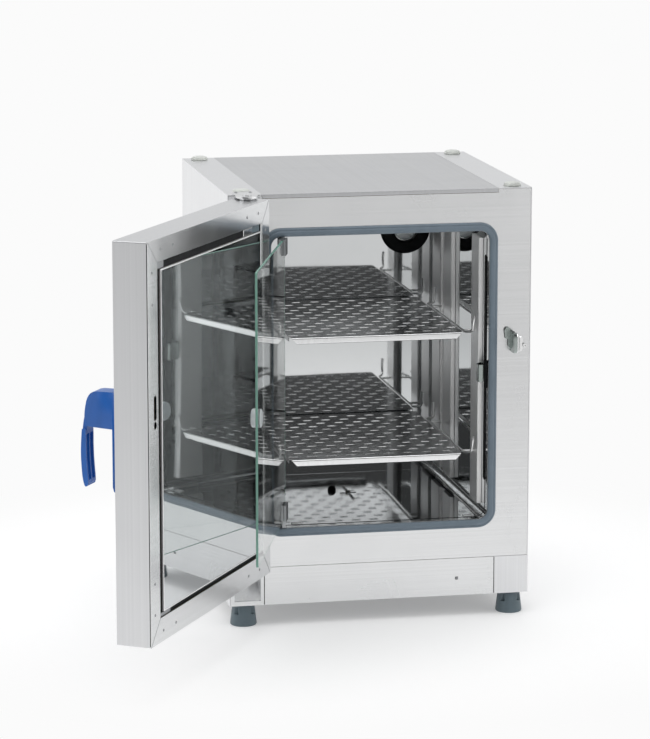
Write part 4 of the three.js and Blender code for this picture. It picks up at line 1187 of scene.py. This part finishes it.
# %% Striker
KEEPER_Y = -5.0
strike_low, strike_high = measured("striker")
keeper_outline = [(482.5, 507.0), (485.5, 512.0), (490.0, 512.0), (498.5, 504.5), (507.1, 494.0),
                  (507.3, 468.0), (502.2, 469.0), (496.3, 472.0), (490.3, 477.0), (489.1, 481.0),
                  (489.3, 491.0), (484.7, 492.0)]
keeper = [sheet(keeper_outline, [], 1.6, "Y", KEEPER_Y, 0.4)]
for x, z0, z1 in ((487.0, 495.0, 509.0), (492.0, 479.5, 507.0), (500.0, 472.5, 500.0), (504.1, 471.0, 495.0)):
    keeper.append(wire([(x, KEEPER_Y, z0), (x, KEEPER_Y, z1)], 0.8))
tongue_x, tongue_low, tongue_high = strike_low.x + 13.0, strike_low.z + 3.0, strike_high.z - 5.0
tongue_line = [(-4.0, tongue_low), (-24.5, tongue_low + 0.6), (-27.0, tongue_low + 4),
               (-27.0, tongue_high - 6), (-24, tongue_high), (-20, tongue_high),
               (-18.6, tongue_high - 5), (-11.4, tongue_high - 5),
               (-10, tongue_high), (-4.0, tongue_high)]
keeper.append(carry([[Vector((tongue_x + side, y, z)) for y, z in tongue_line] for side in (-2.6, 2.6)]))
place("striker_keeper", together(*keeper), "cabinet", keeper_steel, bevel=0.2,
      stands_for=("striker",))


def standing_strip(x0, x1, stations):
    """A strip that stands out from the front and narrows as it goes. Stations are (y, lowest z, height)."""
    return carry([[Vector((x0, y, z)), Vector((x1, y, z)), Vector((x1, y, z + h)), Vector((x0, y, z + h))]
                  for y, z, h in stations])


web = standing_strip(505.7, 507.5, ((-0.4, 465.0, 34.0), (-3.0, 467.0, 29.0), (-5.6, 468.5, 26.0)))
flange = standing_strip(509.9, 514.3, ((-0.4, 468.0, 27.0), (-3.0, 470.0, 23.0), (-5.4, 470.0, 23.0)))
stud_profile = [(0.0, 1.2), (1.6, 1.2), (2.0, 2.2), (2.8, 2.6), (3.4, 2.0), (3.6, 0.0)]
stud = turned(stud_profile, (518.5, -2.6, 479.0), "Y", 24)
place("striker_web", together(web, flange, stud), "cabinet", bright_steel, bevel=0.4)

# %% Glass catch
catch_low, catch_high = measured("glass_catch")
clip_line = [(-0.2, 26.0), (-0.2, 39.0), (-6.0, 39.2), (-13.6, 30.0), (-14.8, 15.0), (-13.2, 12.8),
             (-5.2, 12.8), (-5.2, 14.2), (-12.4, 14.6), (-13.3, 16.0), (-12.2, 29.2), (-5.2, 37.6),
             (-1.6, 37.4), (-1.6, 26.0)]
clip = carry([[Vector((catch_high.x + x, y, z)) for x, y in clip_line] for z in (catch_low.z, catch_high.z)])
place("catch_spring", clip, "cabinet", keeper_steel, bevel=0.3, stands_for=("glass_catch",))
seat = carry([[Vector((catch_high.x - 4.2, y, z)), Vector((catch_high.x - 0.4, y, z)),
               Vector((catch_high.x - 0.4, y + 11, z)), Vector((catch_high.x - 4.2, y + 11, z))]
              for y, z in ((5.0, catch_low.z - 10), (5.0, catch_high.z + 8))])
place("catch_block", seat, "cabinet", black_rubber, bevel=0.8)
print("striker and catch done")

# %% [markdown]
# ## The glass door
# The inner door is a single pane of safety glass. Its faces are clear and its ground edge is green.
# One mesh has both: the faces take the first material and the bevelled rim the second.

# %% Pane
pane_low, pane_high = measured("glass_pane", GLASS)
knob_low, knob_high = measured("glass_knob", GLASS)
knob_x, knob_z = (knob_low.x + knob_high.x) / 2, (knob_low.z + knob_high.z) / 2

KNOB_HOLE = 4.3


def pane_mesh():
    outline = rounded(pane_low.x, pane_low.z, pane_high.x, pane_high.z, 5.0, 6)
    turns = [math.tau * k / len(outline) for k in range(len(outline))]
    hole = [(knob_x + KNOB_HOLE * math.cos(t), knob_z + KNOB_HOLE * math.sin(t)) for t in turns]
    mesh = sheet(flat(outline), [hole], pane_high.y - pane_low.y, "Y", pane_low.y, 0.8)
    for face in mesh.polygons:
        face.material_index = 0 if abs(face.normal.y) > 0.98 else 1
    return mesh


place("clear_pane", pane_mesh(), "glass_door", [pane_glass, pane_edge], GLASS,
      stands_for=("glass_pane",))
print("pane %.0f x %.0f mm" % (pane_high.x - pane_low.x, pane_high.z - pane_low.z))

# %% [markdown]
# ## The control panel
# The outside of the door carries a dark panel with a window for the temperature and a row of touch
# keys printed flush under one film. The digits are seven-segment numerals made of small bars.

# %% Keys and digits
win_low, win_high = measured("display_window", DOOR)
cp_low, cp_high = measured("control_panel", DOOR)
key_parts = []
for i in range(4):
    kx = win_high.x + 22 + i * 24
    key_parts.append(turned([(0.0, 0.5), (6.5, 0.5), (7.6, 0.35), (8.0, 0.0), (0.0, 0.0)],
                            (kx, cp_low.y, (cp_low.z + cp_high.z) / 2), "Y", 32))
place("touch_keys", together(*key_parts), "outer_door", key_plastic, DOOR)
SEGMENTS = {"3": "abgcd", "7": "abc", "0": "abcdef"}
DIGIT_W, DIGIT_H = 9.0, 18.0


def segment_bar(x0, z0, x1, z1):
    """One bar of a numeral, pointed at both ends."""
    a, b = Vector((x0, z0)), Vector((x1, z1))
    along = (b - a).normalized()
    side = Vector((-along.y, along.x)) * 0.9
    outline = [a + along * 0.6, a + along * 1.5 + side, b - along * 1.5 + side, b - along * 0.6,
               b - along * 1.5 - side, a + along * 1.5 - side]
    return sheet([(p.x, p.y) for p in outline], [], 0.2, "Y", win_low.y - 0.25, 0.03)


def numeral(digit, x, z):
    w, h = DIGIT_W, DIGIT_H / 2
    ends = {"a": (0, 2 * h, w, 2 * h), "b": (w, h, w, 2 * h), "c": (w, 0, w, h), "d": (0, 0, w, 0),
            "e": (0, 0, 0, h), "f": (0, h, 0, 2 * h), "g": (0, h, w, h)}
    bars = []
    for letter in SEGMENTS[digit]:
        x0, z0, x1, z1 = ends[letter]
        bars.append(segment_bar(x + x0, z + z0, x + x1, z + z1))
    return bars


bars = []
digit_z = (win_low.z + win_high.z) / 2 - DIGIT_H / 2
for i, digit in enumerate("370"):
    bars += numeral(digit, win_low.x + 20 + i * 20, digit_z)
place("temperature_digits", together(*bars), "outer_door", segment_material, DOOR)
print("control panel done")

# %% [markdown]
# ## Floor, lamps and camera
# The stage is a pale floor under a white sky, as in a product studio. Polished steel shows whatever
# is around it, so the surroundings matter more than the lamps: the sky is white above and behind and
# dark low in front, and the floor's glow weakens in front and grows on the right. That gives the
# brushed front its slow fade from light to grey. Three soft boxes add the long highlights. The
# backdrop itself is seen as one even white, so it doesn't show how the light really falls.

# %% Stage
FLOOR_SIZE = 40.0
SEEN_WHITE = 0.965


def stage_floor():
    """Near the cabinet the floor takes shadows. Further out it only glows: less in front, more on the right.

    Seen directly, the glowing part is one even white. Only its light and reflections vary.
    """
    corners = [(-FLOOR_SIZE, -FLOOR_SIZE, 0), (FLOOR_SIZE, -FLOOR_SIZE, 0), (FLOOR_SIZE, FLOOR_SIZE, 0),
               (-FLOOR_SIZE, FLOOR_SIZE, 0)]
    mesh = bpy.data.meshes.new("studio_floor")
    mesh.from_pydata(corners, [], [(0, 1, 2, 3)])
    floor = bpy.data.objects.new("studio_floor", mesh)
    bpy.context.scene.collection.objects.link(floor)
    material, tree, shader = empty_material("studio_floor")
    shader.inputs["Base Color"].default_value = (0.86, 0.86, 0.86, 1)
    shader.inputs["Emission Color"].default_value = (1, 1, 1, 1)
    shader.inputs["Emission Strength"].default_value = 0.24
    shader.inputs["Roughness"].default_value = 0.8
    shader.inputs["Specular IOR Level"].default_value = 0.1
    where = add(tree, "NewGeometry")
    away = add(tree, "VectorMath", operation="DISTANCE")
    away.inputs[1].default_value = (0.1, 0.25, 0.0)
    tree.links.new(where.outputs["Position"], away.inputs[0])
    far = add(tree, "MapRange", interpolation_type="SMOOTHSTEP", **{"From Min": 0.40, "From Max": 0.95})
    tree.links.new(away.outputs["Value"], far.inputs["Value"])
    split = add(tree, "SeparateXYZ")
    tree.links.new(where.outputs["Position"], split.inputs[0])
    front = add(tree, "MapRange", interpolation_type="SMOOTHSTEP",
                **{"From Min": -2.1, "From Max": -0.8, "To Min": 0.76, "To Max": 1.0})
    tree.links.new(split.outputs["Y"], front.inputs["Value"])
    right = add(tree, "MapRange", interpolation_type="SMOOTHSTEP",
                **{"From Min": 1.3, "From Max": 2.6, "To Min": 1.0, "To Max": 1.5})
    tree.links.new(split.outputs["X"], right.inputs["Value"])
    both = add(tree, "Math", operation="MULTIPLY")
    tree.links.new(front.outputs["Result"], both.inputs[0])
    tree.links.new(right.outputs["Result"], both.inputs[1])
    path = add(tree, "LightPath")
    pick = add(tree, "Mix", data_type="FLOAT")
    pick.inputs[3].default_value = SEEN_WHITE
    tree.links.new(path.outputs["Is Camera Ray"], pick.inputs[0])
    tree.links.new(both.outputs[0], pick.inputs[2])
    glow = add(tree, "Emission")
    tree.links.new(pick.outputs[0], glow.inputs["Strength"])
    mix = add(tree, "MixShader")
    tree.links.new(far.outputs["Result"], mix.inputs["Fac"])
    tree.links.new(shader.outputs[0], mix.inputs[1])
    tree.links.new(glow.outputs[0], mix.inputs[2])
    tree.links.new(mix.outputs[0], tree.nodes["Material Output"].inputs["Surface"])
    mesh.materials.append(material)


# %% Sky
def sky():
    """White behind and overhead, and nearly black low in front, where a studio has nothing lit.

    That is what lights the metal and shows in it. Seen directly, the sky is one even white.
    """
    world = bpy.data.worlds.new("studio_sky")
    bpy.context.scene.world = world
    world.use_nodes = True
    tree = world.node_tree
    background = tree.nodes["Background"]
    where = add(tree, "TexCoord")
    split = add(tree, "SeparateXYZ")
    tree.links.new(where.outputs["Generated"], split.inputs[0])
    round_the_back = add(tree, "MapRange",
                         **{"From Min": -0.60, "From Max": 0.10, "To Min": 0.06, "To Max": 0.78})
    tree.links.new(split.outputs["Y"], round_the_back.inputs["Value"])
    upward = add(tree, "MapRange", **{"From Min": 0.28, "From Max": 0.85, "To Min": 0.0, "To Max": 0.95})
    tree.links.new(split.outputs["Z"], upward.inputs["Value"])
    most = add(tree, "Math", operation="MAXIMUM")
    tree.links.new(round_the_back.outputs["Result"], most.inputs[0])
    tree.links.new(upward.outputs["Result"], most.inputs[1])
    path = add(tree, "LightPath")
    pick = add(tree, "Mix", data_type="FLOAT")
    pick.inputs[3].default_value = SEEN_WHITE
    tree.links.new(path.outputs["Is Camera Ray"], pick.inputs[0])
    tree.links.new(most.outputs[0], pick.inputs[2])
    tree.links.new(pick.outputs[0], background.inputs["Strength"])
    background.inputs["Color"].default_value = (0.99, 0.995, 1.0, 1)


stage_floor()
sky()


# %% Soft boxes
def soft_box(name, where, target, width, height, power):
    lamp = bpy.data.lights.new(name, "AREA")
    lamp.shape = "RECTANGLE"
    lamp.size, lamp.size_y = width, height
    lamp.energy = power
    obj = bpy.data.objects.new(name, lamp)
    obj.location = where
    obj.rotation_euler = (Vector(target) - Vector(where)).to_track_quat("-Z", "Y").to_euler()
    bpy.context.scene.collection.objects.link(obj)


centre = (cad_box[0] + cad_box[1]) / 2
soft_box("overhead", (0.2, -0.4, 3.2), (0.1, 0.1, 0.3), 3.2, 2.6, 30)
soft_box("left_box", (-3.2, -0.8, 1.7), centre, 1.6, 2.2, 12)
soft_box("right_box", (3.0, -2.2, 1.5), centre, 1.0, 2.4, 7)

# %% Camera
camera_data = bpy.data.cameras.new("camera")
camera_data.lens = 161.08
camera_data.sensor_width = 36.0
camera_data.sensor_fit = "AUTO"
camera_data.clip_end = 100
camera = bpy.data.objects.new("camera", camera_data)
camera.location = CABINET @ Vector((-911.8, -5453.8, 1520.1))
camera.rotation_euler = (math.radians(90 - 10.906), 0, math.radians(-11.196))
bpy.context.scene.collection.objects.link(camera)
bpy.context.scene.camera = camera
bpy.context.scene.view_settings.view_transform = "Standard"
print("stage set,", len(made), "pieces made")
